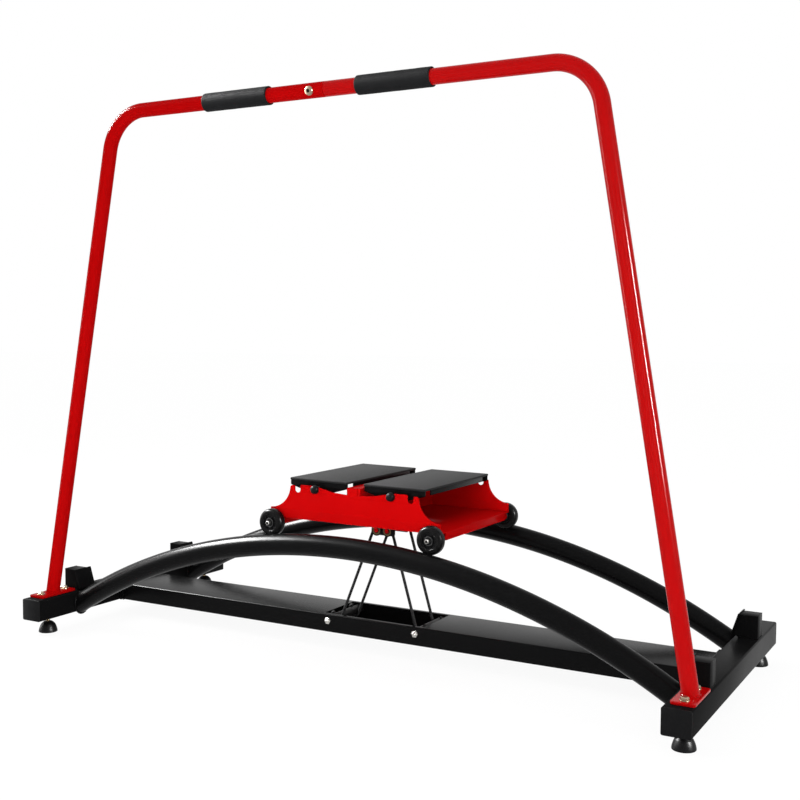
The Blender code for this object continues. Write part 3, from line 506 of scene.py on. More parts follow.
def lathe(profile, centre, axis, steps, closed=False):
    shape = bmesh.new()
    rings = []
    for radius, height in profile:
        if radius < 0.000001:  # on the axis, where one point closes the shape
            rings.append([shape.verts.new((0, 0, height))])
        else:
            ring = [(radius * cos(a), radius * sin(a), height) for a in fullTurn(steps)]
            rings.append([shape.verts.new(point) for point in ring])
    pairs = list(zip(rings, rings[1:]))
    if closed:
        pairs.append((rings[-1], rings[0]))
    for low, high in pairs:
        for k in range(steps):
            n = k + 1
            corners = [low[k % len(low)], low[n % len(low)], high[n % len(high)], high[k % len(high)]]
            corners = list(dict.fromkeys(corners))
            if len(corners) > 2:
                shape.faces.new(corners)
    turn = Vector(axis).to_track_quat("Z", "Y").to_matrix().to_4x4()
    return moved(shape, Matrix.Translation(centre) @ turn)


def sweep(path, radius, sides, caps=True):
    shape = bmesh.new()
    layer = shape.loops.layers.uv.new("UVMap")
    points = [Vector(p) for p in path]
    rings = []
    lengths = [0.0]
    side = None
    for i, point in enumerate(points):
        ahead = (points[min(i + 1, len(points) - 1)] - points[max(i - 1, 0)]).normalized()
        side = (side - ahead * side.dot(ahead)).normalized() if side else ahead.orthogonal().normalized()
        across = ahead.cross(side)
        size = radius(i) if callable(radius) else radius
        ring = [point + (side * cos(a) + across * sin(a)) * size for a in fullTurn(sides)]
        rings.append([shape.verts.new(place) for place in ring])
        if i:
            lengths.append(lengths[-1] + (point - points[i - 1]).length)
    for i in range(len(rings) - 1):
        for k in range(sides):
            n = (k + 1) % sides
            face = shape.faces.new([rings[i][k], rings[i][n], rings[i + 1][n], rings[i + 1][k]])
            marks = [(lengths[i], k), (lengths[i], k + 1), (lengths[i + 1], k + 1), (lengths[i + 1], k)]
            for loop, (u, v) in zip(face.loops, marks):
                loop[layer].uv = (u, v / sides)
    if caps:
        shape.faces.new(rings[0][::-1])
        shape.faces.new(rings[-1])
    return shape


def trimmed(shape, point, normal):  # cuts off what lies past the plane
    geometry = shape.verts[:] + shape.edges[:] + shape.faces[:]
    cut = bmesh.ops.bisect_plane(shape, geom=geometry, plane_co=point, plane_no=normal, clear_outer=True)
    rim = [e for e in cut["geom_cut"] if isinstance(e, bmesh.types.BMEdge)]
    bmesh.ops.holes_fill(shape, edges=rim, sides=0)
    return shape


def weldBead(path, radius):
    ring = list(path) + [path[0]]
    ripple, pace = 0.22, 1.9
    shape = sweep(ring, lambda i: radius * (1 + ripple * sin(i * pace)), 10, False)
    bmesh.ops.remove_doubles(shape, verts=shape.verts, dist=radius * 0.4)
    return shape


def ringPath(centre, across, up, steps):
    centre, across, up = Vector(centre), Vector(across), Vector(up)
    return [centre + across * cos(a) + up * sin(a) for a in fullTurn(steps)]


def threaded(radius, low, high, pitch=0.0015):
    count = max(2, int((high - low) / pitch))
    root = radius * 0.86
    profile = []
    for k in range(count):
        start = low + (high - low) * k / count
        profile += [(root, start), (radius, start + (high - low) / count / 2)]
    return profile + [(root, high)]


def hexHead(radius, height, centre, axis):
    profile = [(0, height), (radius * 0.80, height), (radius, height * 0.80)]
    profile += [(radius, height * 0.06), (radius * 0.94, 0), (0, 0)]
    return lathe(profile, centre, axis, 6)


def washer(radius, bore, height, centre, axis):
    profile = soften(wallSection(bore, radius, 0, height), height * 0.3, 2)
    return lathe(profile, centre, axis, 40, True)


# Base: crossbars, end caps, beam, rails, stops and feet

base = {
    "halfLength": 0.950, "footHeight": 0.043, "barWidth": 0.065, "barHeight": 0.060, "barLength": 0.826,
    "barCorner": 0.0045, "barEdge": 0.0003, "capThickness": 0.003, "capEdge": 0.0012, "gap": 0.0003,
    "beamWidth": 0.171, "beamHeight": 0.049, "beamWall": 0.003, "beamFold": 0.0035, "innerFold": 0.001,
    "flange": 0.006, "flangeWidth": 0.190, "flangeCorner": 0.004, "flangeEdge": 0.0012, "flangeWeld": 0.0020,
    "openingLength": 0.308, "openingWidth": 0.146, "railY": 0.250, "railRadius": 0.028, "railRise": 0.248,
    "railEnd": 0.025, "railWeld": 0.0022, "weldSetback": 0.0008,
}
innerFace = base["halfLength"] - base["barWidth"]
barX = base["halfLength"] - base["barWidth"] / 2
barTop = base["footHeight"] + base["barHeight"]
arcRadius = (innerFace ** 2 + base["railRise"] ** 2) / (2 * base["railRise"])
arcZ = base["footHeight"] + base["railEnd"] + base["railRise"] - arcRadius


def makeCrossbar(side, label):
    b = base
    length = b["barLength"] - 2 * (b["capThickness"] + b["gap"])
    centre = Vector((side * barX, 0, b["footHeight"] + b["barHeight"] / 2))
    outline = rectangle(b["barWidth"], b["barHeight"], b["barCorner"], 6)
    tube = slab([outline], length, "y", centre, b["barEdge"])
    piece(f"crossbar_{label}_tube", tube, barPaint, "base", [f"crossbar_{label}"])
    for end, place in frontBack:
        y = end * (b["barLength"] - b["capThickness"]) / 2
        cap = slab([outline], b["capThickness"], "y", (centre.x, y, centre.z), b["capEdge"])
        piece(f"cap_{label}_{place}", cap, blackPlastic, "base", [f"end_cap_{label}_{place}"])


def makeBeam():
    b = base
    low, high = b["footHeight"], b["footHeight"] + b["beamHeight"]
    middle = (low + high) / 2
    outer = rectangle(b["beamWidth"], b["beamHeight"], b["beamFold"], 5)
    wall = 2 * b["beamWall"]
    inner = rectangle(b["beamWidth"] - wall, b["beamHeight"] - wall, b["innerFold"], 2)
    plate = rectangle(b["flangeWidth"], b["beamHeight"] + b["flange"], b["flangeCorner"], 3)
    plateZ = low + (b["beamHeight"] + b["flange"]) / 2
    reach = innerFace - b["gap"]
    half = b["openingLength"] / 2
    shapes = []
    for side in (-1, 1):
        shapes.append(slab([outer, inner], reach - half, "x", (side * (reach + half) / 2, 0, middle), 0))
        place = (side * (reach - b["flange"] / 2), 0, plateZ)
        shapes.append(slab([plate], b["flange"], "x", place, b["flangeEdge"]))
        path = [Vector((side * (reach - b["flange"]), p.x, middle + p.y)) for p in denser(outer, 0.004)]
        shapes.append(weldBead(path, b["flangeWeld"]))
    lip = b["openingWidth"] / 2
    w, h, t = b["beamWidth"] / 2, b["beamHeight"] / 2, b["beamWall"]
    channel = soften([(-lip, h), (-w, h), (-w, -h), (w, -h), (w, h), (lip, h)], b["beamFold"], 5, False)
    inside = ((lip, h - t), (w - t, h - t), (w - t, t - h), (t - w, t - h), (t - w, h - t), (-lip, h - t))
    channel += [Vector(p) for p in inside]
    shapes.append(slab([channel], 2 * half, "x", (0, 0, middle), 0))
    piece("beam_shell", joined(*shapes), blackPaint, "base", ["center_beam"])


def railPath(y, reach, steps):
    path = []
    for i in range(steps + 1):
        angle = -reach + 2 * reach * i / steps
        path.append((arcRadius * sin(angle), y, arcZ + arcRadius * cos(angle)))
    return path


def makeRail(side, label):
    b = base
    limit = innerFace - b["gap"]
    slope = asin(innerFace / arcRadius)
    spare = 0.03  # radians past each end, which are cut off square to the crossbars
    shape = sweep(railPath(side * b["railY"], slope + spare, 120), b["railRadius"], 40)
    tall = b["railRadius"] / cos(slope)
    beads = []
    for way in (-1, 1):
        shape = trimmed(shape, (way * limit, 0, 0), (way, 0, 0))
        centre = (way * (limit - b["weldSetback"]), side * b["railY"], b["footHeight"] + b["railEnd"])
        path = ringPath(centre, (0, b["railRadius"], 0), (0, 0, tall), 90)
        beads.append(weldBead(path, b["railWeld"]))
    piece(f"rail_{label}_tube", joined(shape, *beads), blackPaint, "base", [f"rail_{label}"])


stop = {
    "length": 0.048, "width": 0.048, "height": 0.058, "inset": 0.005, "y": 0.232, "plateWidth": 0.064,
    "plateHeight": 0.060, "plateThickness": 0.004, "plateLift": 0.006, "lean": radians(18), "fold": 0.0012,
    "bodyEdge": 0.0014, "plateEdge": 0.0010, "corner": 0.002, "weld": 0.0015, "weldLift": 0.0006,
}


def makeStop(side, end, label):
    s = stop
    lean = tan(s["lean"])
    low = (s["plateLift"] - s["plateHeight"]) * lean
    middle = s["plateThickness"] / 2
    origin = (side * (base["halfLength"] - s["inset"] - s["length"]), end * s["y"], barTop + base["gap"])
    body = [(0, 0), (s["length"], 0), (s["length"], s["height"])]
    body += [(middle, s["height"]), (low + middle, s["plateLift"] * 1.1)]
    face = [(low, s["plateLift"]), (low + 2 * middle, s["plateLift"])]
    face += [(2 * middle, s["plateHeight"]), (0, s["plateHeight"])]
    shapes = []
    for outline, width, edge in ((body, s["width"], s["bodyEdge"]), (face, s["plateWidth"], s["plateEdge"])):
        path = soften([(side * x, z) for x, z in outline], s["fold"], 2)
        shapes.append(slab([path], width, "y", origin, edge))
    inner = rectangle(s["length"], s["width"], s["corner"], 2)
    centre = Vector((origin[0] + side * s["length"] / 2, origin[1], origin[2] + s["weldLift"]))
    path = [centre + Vector((p.x, p.y, 0)) for p in denser(inner, 0.003)]
    shapes.append(weldBead(path, s["weld"]))
    piece(f"stop_{label}_welded", joined(*shapes), barPaint, "base", [f"stop_{label}"])


foot = {
    "radius": 0.026, "top": 0.012, "height": 0.030, "rim": 0.003, "rimEdge": 0.0008, "stem": 0.005,
    "stemLength": 0.064, "nut": 0.009, "nutHeight": 0.006, "inset": 0.063,
    "bell": ((0.60, 0.87), (0.76, 0.72), (0.87, 0.52), (0.94, 0.34), (0.985, 0.18)),
}


def makeFoot(side, end, label):
    f = foot
    centre = (side * barX, end * (base["barLength"] / 2 - f["inset"]), 0)
    r, h, edge = f["radius"], f["height"], f["rimEdge"]
    bell = [(0, h), (f["top"] * 0.8, h), (f["top"], h * 0.96)]
    bell += [(r * out, h * up) for out, up in f["bell"]]
    bell += [(r, f["rim"]), (r, 0.75 * edge), (r - edge, 0), (0, 0)]
    pad = lathe(soften(bell, 0.001, 2, False), centre, (0, 0, 1), 56)
    piece(f"foot_{label}_pad", pad, footRubber, f"foot_{label}", [f"foot_{label}"])
    seat = h - 0.002
    stem = [(0, seat)] + threaded(f["stem"], seat, f["stemLength"]) + [(0, f["stemLength"])]
    nutBottom = base["footHeight"] - base["gap"] - f["nutHeight"]
    nut = hexHead(f["nut"], f["nutHeight"], (centre[0], centre[1], nutBottom), (0, 0, 1))
    screw = joined(lathe(stem, centre, (0, 0, 1), 32), nut)
    piece(f"foot_{label}_stem", screw, zincSteel, f"foot_{label}")


makeBeam()
for side, label in leftRight:
    makeCrossbar(side, label)
    for end, place in frontBack:
        makeStop(side, end, f"{label}_{place}")
        makeFoot(side, end, f"{label}_{place}")
makeRail(-1, "front")
makeRail(1, "back")
print("base made")


# Hoop: two bent tubes with foot plates, the joint between them, grips and bolts

hoop = {
    "height": 1.450, "y": -0.325, "topY": -0.3066, "footInset": 0.0275, "topHalf": 0.6845, "radius": 0.019,
    "bend": 0.118, "seam": 0.0004, "wall": 0.0023, "sleeveWall": 0.002, "sleeveHalf": 0.08,
    "plateWidth": 0.054, "plateLength": 0.130, "plate": 0.006, "plateCorner": 0.008, "plateEdge": 0.0010,
    "boltSpacing": 0.090, "weld": 0.0024, "weldLift": 0.0004,
}
grip = {
    "radius": 0.0235, "length": 0.201, "left": -0.2685, "right": 0.1915, "edge": 0.0022,
    "lumps": ((55, 0.00025), (260, 0.00012)), "sink": 0.0002,
}
fastener = {
    "bolt": 0.005, "head": 0.0095, "headHeight": 0.0065, "washer": 0.011, "washerHeight": 0.0015,
    "plateBolt": 0.026, "studTip": 0.0044,
}
joint = {
    "bolt": 0.003, "head": 0.0112, "headHeight": 0.005, "socket": 0.0042, "offset": -0.038,
    "tilt": radians(12),
}


def makeHoopHalf(side, label):
    h = hoop
    plateBottom = barTop + base["gap"]
    plateTop = plateBottom + h["plate"]
    footPoint = Vector((side * (base["halfLength"] - h["footInset"]), h["y"], plateTop))
    corner = Vector((side * h["topHalf"], h["topY"], h["height"]))
    start = footPoint + (footPoint - corner).normalized() * h["plate"]
    seam = Vector((side * h["seam"], h["topY"], h["height"]))
    path = soften([start, corner, seam], h["bend"], 48, False)
    straight = [start.lerp(path[1], k / 24) for k in range(24)]
    tube = sweep(straight + path[1:], h["radius"], 56)
    tube = trimmed(tube, (0, 0, plateTop - 0.002), (0, 0, -1))
    outline = rectangle(h["plateWidth"], h["plateLength"], h["plateCorner"], 6)
    place = (footPoint.x, footPoint.y, plateBottom + h["plate"] / 2)
    plate = slab([outline], h["plate"], "z", place, h["plateEdge"])
    wide = h["radius"] / cos(atan2(corner.x - footPoint.x, corner.z - footPoint.z))
    ring = ringPath(footPoint + Vector((0, 0, h["weldLift"])), (wide, 0, 0), (0, h["radius"], 0), 64)
    whole = joined(tube, plate, weldBead(ring, h["weld"]))
    piece(f"hoop_{label}_tube", whole, redPaint if side > 0 else satinRed, "base", [f"hoop_{label}"])
    for end, place in frontBack:
        boltSeat = (footPoint.x, h["y"] + end * h["boltSpacing"] / 2, plateTop + base["gap"])
        makePlateBolt(boltSeat, f"{label}_{place}")


def makePlateBolt(place, label):
    f = fastener
    above = (place[0], place[1], place[2] + f["washerHeight"])
    tip = -f["plateBolt"]
    shank = [(0, 0)] + threaded(f["bolt"], tip, 0)[::-1] + [(0, tip)]
    shapes = [
        washer(f["washer"], f["bolt"], f["washerHeight"], place, (0, 0, 1)),
        hexHead(f["head"], f["headHeight"], above, (0, 0, 1)),
        lathe(shank, place, (0, 0, 1), 24),
    ]
    piece(f"plate_bolt_{label}_set", joined(*shapes), zincSteel, "base", [f"plate_bolt_{label}"])


def makeHoopJoint():
    j = joint
    seat = hoop["radius"] + base["gap"]
    centre = (j["offset"], hoop["topY"], hoop["height"])
    front = Vector((centre[0], centre[1] - seat, centre[2]))
    back = Vector((centre[0], centre[1] + seat, centre[2]))
    high, wide, socket = j["headHeight"], j["head"], j["socket"]
    dome = [(0, high * 0.3), (socket, high * 0.3), (socket + 0.0003, high)]
    dome += [(wide * 0.68, high), (wide * 0.92, high * 0.72), (wide, high * 0.4), (wide, 0), (0, 0)]
    shank = [(0, -2 * seat), (j["bolt"], -2 * seat), (j["bolt"], 0), (0, 0)]
    shapes = [
        lathe(dome, front, (0, -1, 0), 48),
        lathe(shank, front, (0, -1, 0), 20),
        hexHead(wide, high, back, (0, 1, 0)),
    ]
    middle = Matrix.Translation(centre)
    tilt = middle @ Matrix.Rotation(j["tilt"], 4, "X") @ middle.inverted()
    piece("joint_bolt_set", moved(joined(*shapes), tilt), zincSteel, "base", ["hoop_joint_bolt"])
    # A black hex low in the head's round recess is painted shade for the hollow of the hex socket
    seatFront = (front.x, front.y - high * 0.32, front.z)
    floor = hexHead(socket * 0.98, high * 0.2, seatFront, (0, -1, 0))
    piece("joint_bolt_socket_shade", moved(floor, tilt), blackSteel, "base")
    outer, reach = hoop["radius"] - hoop["wall"], hoop["sleeveHalf"]
    bore = outer - hoop["sleeveWall"]
    profile = soften(wallSection(bore, outer, -reach, reach), 0.0004, 2)
    sleeve = lathe(profile, (0, hoop["topY"], hoop["height"]), (1, 0, 0), 36, True)
    piece("joint_sleeve", sleeve, blackSteel, "base", ["hoop_sleeve"])


def makeGrip(x, label):
    g = grip
    inner, half = hoop["radius"] + base["gap"], g["length"] / 2
    profile = [(inner, -half), (g["radius"], -half)]
    profile += [(g["radius"], -half + g["length"] * k / 48) for k in range(1, 48)]
    profile += [(g["radius"], half), (inner, half)]
    shape = lathe(soften(profile, g["edge"], 4), (x, hoop["topY"], hoop["height"]), (1, 0, 0), 64, True)
    shape.normal_update()
    for vert in shape.verts:
        away = Vector((0, vert.co.y - hoop["topY"], vert.co.z - hoop["height"]))
        if away.length > inner + 0.001:
            swell = sum(noise.noise(vert.co * scale) * size for scale, size in g["lumps"])
            vert.co += away.normalized() * (swell - g["sink"])
    made = piece(f"grip_{label}_foam", shape, foamGrip, "base", [f"grip_{label}"], 50)


makeHoopHalf(-1, "left")
makeHoopHalf(1, "right")
makeHoopJoint()
makeGrip(grip["left"], "left")
makeGrip(grip["right"], "right")
print("hoop made")


# Carriage: heights are measured up from the wheel axles

wheel = {
    "radius": 0.036, "width": 0.028, "corner": 0.010, "y": 0.222, "x": 0.237, "flat": 0.008, "core": 0.0206,
    "dish": 0.006, "hub": 0.0126, "bearing": 0.0114, "race": 0.0016, "recess": 0.0030, "shieldBore": 0.0050,
    "spokes": 5, "spokeWidth": 0.0030, "spokeDepth": 0.0036, "spokeTurn": 0.3, "axle": 0.004, "shank": 0.070,
    "nut": 0.0062, "nutHeight": 0.009, "tube": 0.0117,
}
seatGap = base["railRadius"] + wheel["corner"] + base["gap"]
treadReach = base["railY"] - wheel["y"] - wheel["flat"] / 2
axleAbove = wheel["radius"] - wheel["corner"] + sqrt(seatGap ** 2 - treadReach ** 2)
axleZ = arcZ + sqrt((arcRadius + axleAbove) ** 2 - wheel["x"] ** 2)
restOffset = 0.014
arcMiddle = Matrix.Translation((0, 0, arcZ))
restTurn = Matrix.Rotation(restOffset / (arcRadius + axleAbove), 4, "Y")
carriageTurn = arcMiddle @ restTurn @ arcMiddle.inverted()
tray = {
    "sheet": 0.003, "width": 0.408, "length": 0.510, "floor": 0.012, "lip": 0.019, "endHeight": 0.038,
    "tab": 0.103, "outerTab": 0.1005, "outerReach": 0.187, "outerWidth": 0.0095, "notch": 0.017,
    "notchDepth": 0.0185, "flatTab": 0.0345, "valley": 0.015, "shoulder": 0.101, "shoulderHeight": 0.0995,
    "knee": 0.061, "kneeHeight": 0.091, "valleyFloor": 0.016, "centreTab": 0.014, "centreTop": 0.107,
    "lipInset": 0.028, "hem": 0.0014, "edge": 0.0007, "bend": 0.0025, "weld": 0.004,
    "channelWidth": 0.040, "channelLength": 0.4015, "channelTop": 0.1065,
}
board = {
    "width": 0.179, "length": 0.372, "y": -0.0055, "thickness": 0.006, "centre": 0.1135, "underside": 0.1125,
    "corner": 0.004, "edge": 0.0022, "pivot": 0.0945, "pivotRadius": 0.005, "cap": 0.0115,
    "capLength": 0.013, "flange": 0.004, "flangeTop": 0.088, "flangeBottom": 0.019, "flangeInset": 0.003,
    "drop": 0.0325, "rimDepth": 0.0125, "rimSetback": 0.036,
}


def sidePlateOutline():
    t = tray
    end = t["length"] / 2
    tab = t["outerReach"] - t["outerWidth"]
    notch = tab - t["notch"]
    flat = notch - t["flatTab"]
    reach = t["outerTab"] - t["endHeight"]
    right = [(end, t["floor"]), (end, t["endHeight"])]
    right += arc((end, t["outerTab"]), reach, 270, 183, 24)[1:]
    right += [(t["outerReach"], t["outerTab"]), (tab, t["outerTab"])]
    bow = t["notch"] / 2
    right += arc((tab - bow, t["outerTab"] - t["notchDepth"] + bow), bow, 0, -180, 16)
    right += [(notch, t["tab"]), (flat, t["tab"])]
    right += [(t["shoulder"], t["shoulderHeight"]), (t["knee"], t["kneeHeight"])]
    valley = t["tab"] - t["valley"]
    right += [(t["valleyFloor"], valley), (t["centreTab"], valley), (t["centreTab"], t["centreTop"])]
    return right + [(-x, z) for x, z in reversed(right)]


def makeTray():
    t = tray
    outline = soften(sidePlateOutline(), t["bend"], 4)
    y = t["width"] / 2 - t["sheet"] / 2
    hole = circle(board["pivotRadius"] + base["gap"], 24)
    holes = [[p + Vector((side * board["centre"], board["pivot"])) for p in hole] for side in (-1, 1)]
    shapes = [slab([outline, *holes], t["sheet"], "y", (0, end * y, axleZ), t["edge"]) for end in (-1, 1)]
    floorZ = axleZ + t["floor"] + t["sheet"] / 2
    floorSize = (t["length"], t["width"] - 2 * (t["sheet"] - base["gap"]), t["sheet"])
    shapes.append(block(floorSize, (0, 0, floorZ), 0.0008))
    for end in (-1, 1):
        place = (0, end * (y - t["sheet"] / 2), floorZ + t["sheet"] / 2)
        corner = soften([Vector((end * -x, z)) for x, z in ((0, 0), (t["weld"], 0), (0, t["weld"]))], 0.0018)
        shapes.append(slab([corner], t["length"] - t["weld"], "x", place, 0))
    lipLength = t["width"] - 2 * t["lipInset"]
    lip = rectangle(lipLength, t["lip"], 0.003, 3)
    for side in (-1, 1):
        x = side * (t["length"] / 2 - t["sheet"] / 2)
        shapes.append(slab([lip], t["sheet"], "x", (x, 0, floorZ - t["lip"] / 2), 0.0012))
        hem = (x + side * t["hem"] / 2, 0, floorZ - t["lip"] + t["sheet"] / 2)
        shapes.append(block((t["sheet"] + t["hem"], lipLength - 0.002, t["sheet"]), hem, 0.0012))
    piece("tray_folded", joined(*shapes), satinRed, "carriage", ["carriage_tray"])
    bottom = axleZ + t["floor"] + t["sheet"] + base["gap"]
    top = axleZ + t["channelTop"]
    size = (t["channelWidth"], t["channelLength"], top - bottom)
    channel = block(size, (0, 0, (top + bottom) / 2), 0.0025, 4)
    piece("channel_folded", channel, satinRed, "carriage", ["center_channel"])


def makeAxles(side, label):
    w = wheel
    half = w["y"] - w["width"] / 2 - base["gap"]
    profile = soften(wallSection(w["axle"], w["tube"], -half, half), 0.0006, 2)
    tube = lathe(profile, (side * w["x"], 0, axleZ), (0, 1, 0), 40, True)
    piece(f"axle_tube_{label}_round", tube, satinRed, "carriage", [f"axle_tube_{label}"])


def makeTyre(place, axis, label):
    w = wheel
    half, c = w["width"] / 2, w["corner"]
    outer = arc((w["radius"] - c, w["flat"] / 2), c, 0, 90, 10)
    profile = [(w["core"], half - 0.0018), (w["core"] + 0.0016, half)] + outer[::-1]
    tyre = lathe(soften(mirrored(profile), 0.0004, 1), place, axis, 72, True)
    piece(f"wheel_{label}_tyre", tyre, wheelTyre, f"wheel_{label}", [f"wheel_{label}"])


def makeCore(place, axis, label):
    w = wheel
    half, hub, core, bearing = w["width"] / 2, w["hub"], w["core"], w["bearing"]
    dish, recess = half - w["dish"], half - w["recess"]
    boss = [(hub, dish), (hub, half - 0.0010), (hub - 0.0006, half - 0.0004), (bearing, half - 0.0014)]
    rim = [(core, half - 0.0020), (core - 0.0018, half - 0.0022), (core - 0.0030, dish)]
    profile = [(r, -h) for r, h in boss] + boss[::-1] + rim[::-1] + [(r, -h) for r, h in rim]
    shapes = [lathe(profile, place, axis, 60, True)]
    bore, edge, face = w["shieldBore"], bearing - 0.0015, half - 0.0015
    shield = [(bore, recess), (bore, face), (edge, face), (edge, recess)]
    spoke = (w["spokeWidth"], w["spokeDepth"], core - hub - 0.0024)
    for way in (-1, 1):
        shapes.append(lathe(shield, place, (0, way, 0), 48, True))
        for k in range(w["spokes"]):
            rib = block(spoke, (0, way * (dish + 0.0016), (core + hub) / 2), 0.0007, 2)
            turn = Matrix.Rotation(2 * pi * k / w["spokes"] + w["spokeTurn"], 4, "Y")
            shapes.append(moved(rib, Matrix.Translation(place) @ turn))
    piece(f"wheel_{label}_core", joined(*shapes), blackPlastic, f"wheel_{label}")
    inner, face = bearing - w["race"], half - 0.0006
    race = soften([(inner, recess), (inner, face), (bearing, face), (bearing, recess)], 0.0003, 2)
    races = [lathe(race, place, (0, way, 0), 48, True) for way in (-1, 1)]
    piece(f"wheel_{label}_bearing", joined(*races), dullSteel, f"wheel_{label}")


def makeAxleBolt(seat, axis, label):
    w = wheel
    high, axle, wide = w["nutHeight"], w["axle"], w["nut"]
    nut = [(axle, high), (wide * 0.80, high), (wide, high * 0.86)]
    nut += [(wide, high * 0.05), (wide * 0.94, 0), (axle, 0)]
    shank = [(0, 0), (axle, 0), (axle, -w["shank"]), (0, -w["shank"])]
    bolt = joined(lathe(nut, seat, axis, 6, True), lathe(shank, seat, axis, 24))
    piece(f"axle_bolt_{label}_set", bolt, nutSteel, "carriage", [f"axle_bolt_{label}"])
    tip = high - 0.0006
    stud = soften([(0, tip), (axle * 0.9, tip), (axle * 0.98, 0), (0, 0)], 0.0003, 2, False)
    piece(f"axle_bolt_{label}_end", lathe(stud, seat, axis, 24), blackSteel, "carriage")


def makeWheel(side, end, label):
    w = wheel
    place, axis = (side * w["x"], end * w["y"], axleZ), (0, end, 0)
    makeTyre(place, axis, label)
    makeCore(place, axis, label)
    makeAxleBolt(Vector(place) + Vector((0, end * (w["width"] / 2 + base["gap"]), 0)), axis, label)


def makeBoard(side, label):
    b = board
    z = axleZ + b["underside"] + b["thickness"] / 2
    x = side * b["centre"]
    outline = rectangle(b["width"], b["length"], b["corner"], 6)
    top = slab([outline], b["thickness"], "z", (x, b["y"], z), b["edge"])
    piece(f"board_{label}_top", top, boardTop, f"footboard_{label}", [f"footboard_{label}"])
    pivotZ = axleZ + b["pivot"]
    under = b["underside"] - b["pivot"]
    lap, rim = under + b["thickness"] / 2, under - b["rimDepth"]
    right = [(b["flangeBottom"], under - b["drop"]), (b["flangeTop"], rim), (b["flangeTop"], lap)]
    outline = soften(right + [(-x, z) for x, z in reversed(right)], 0.003, 4)
    size = (b["flange"], b["length"] - 2 * b["rimSetback"], lap - rim)
    shapes = []
    for way in (-1, 1):
        place = (x + way * (b["flangeTop"] - b["flange"] / 2), b["y"], axleZ + b["pivot"] + (lap + rim) / 2)
        shapes.append(block(size, place, 0.0008, 2))
    bore = circle(b["pivotRadius"] + base["gap"], 20)
    for end in (-1, 1):
        y = b["y"] + end * (b["length"] / 2 - b["flangeInset"] - b["flange"] / 2)
        shapes.append(slab([outline, bore], b["flange"], "y", (x, y, pivotZ), tray["edge"]))
    piece(f"board_{label}_flanges", joined(*shapes), blackPaint, f"footboard_{label}")
    seat = tray["width"] / 2 + base["gap"]
    tip, wide = seat + b["capLength"], b["cap"]
    cap = [(0, tip), (wide * 0.45, tip - 0.0003), (wide * 0.72, tip - 0.0018), (wide * 0.90, tip - 0.0044)]
    cap += [(wide * 0.98, tip - 0.0080), (wide, seat + 0.0006), (wide * 0.96, seat)]
    cap.append((b["pivotRadius"], seat))
    rod = lathe(mirrored(cap), (x, 0, pivotZ), (0, 1, 0), 40)
    piece(f"pivot_rod_{label}_capped", rod, blackPlastic, "carriage", [f"pivot_rod_{label}"])


makeTray()
for side, label in leftRight:
    makeAxles(side, label)
    makeBoard(side, label)
    for end, place in frontBack:
        makeWheel(side, end, f"{label}_{place}")
print("carriage made")


# Pulleys and elastic cords

cord = {"radius": 0.004, "y": 0.047, "boltX": 0.135, "boltHeight": 0.032, "sleeve": 0.012, "wrap": 235}
pulley = {
    "radius": 0.0155, "groove": 0.0070, "width": 0.014, "x": 0.0165, "drop": 0.025, "edge": 0.0006,
    "bushBore": 0.0078, "bush": 0.0124, "bushLift": 0.0003, "pin": 0.004, "pinHead": 0.006,
    "pinHeadHeight": 0.002, "bracket": 0.064, "plate": 0.004,
}
pulleyZ = axleZ - pulley["drop"]
cordZ = base["footHeight"] + cord["boltHeight"]


def makePulley(side, end, label):
    p = pulley
    half, throat, edge = p["width"] / 2, cord["radius"] + base["gap"], p["edge"]
    upper = [(p["pin"] + base["gap"], half), (p["radius"] - edge, half), (p["radius"], half - edge)]
    upper += [(p["radius"], half - p["width"] / 8), (p["groove"] + throat, throat)]
    upper += [(p["groove"] + edge, throat * 0.85), (p["groove"], throat * 0.4)]
    place = (side * p["x"], end * cord["y"], pulleyZ)
    shape = lathe(mirrored(upper), place, (0, 1, 0), 48, True)
    piece(f"pulley_{label}_wheel", shape, blackPlastic, f"pulley_{label}", [f"pulley_{label}"])
    bore, wide, face, low = p["bushBore"], p["bush"], half + p["bushLift"], half - 0.001
    profile = [(bore, low), (wide, low), (wide, half)]
    profile += [(wide - 0.0004, face), (bore + 0.0004, face), (bore, half)]
    bush = lathe(profile, place, (0, end, 0), 40, True)
    piece(f"pulley_{label}_bush", bush, bearingBrass, f"pulley_{label}")


def makeBracket():
    p = pulley
    top = axleZ + tray["floor"] - base["gap"]
    ear = cord["y"] - p["width"] / 2 - p["plate"] / 2 - base["gap"]
    low = pulleyZ - p["radius"]
    roof = rectangle(p["bracket"], 2 * ear + p["plate"], 0.003, 3)
    shapes = [slab([roof], p["plate"], "z", (0, 0, top - p["plate"] / 2), 0.001)]
    outline = rectangle(p["bracket"], top - low, 0.006, 5)
    for end in (-1, 1):
        shapes.append(slab([outline], p["plate"], "y", (0, end * ear, (top + low) / 2), 0.0008))
    piece("bracket_folded", joined(*shapes), blackPaint, "carriage", ["pulley_bracket"])
    seat = cord["y"] + p["width"] / 2 + base["gap"]
    tip = seat + p["pinHeadHeight"]
    head = soften([(0, tip), (p["pinHead"], tip), (p["pinHead"], seat), (p["pin"], seat)], 0.0006, 3, False)
    for side, label in leftRight:
        pin = lathe(mirrored(head), (side * p["x"], 0, pulleyZ), (0, 1, 0), 32)
        piece(f"pulley_pin_{label}_round", pin, redPaint, "carriage", [f"pulley_pin_{label}"])


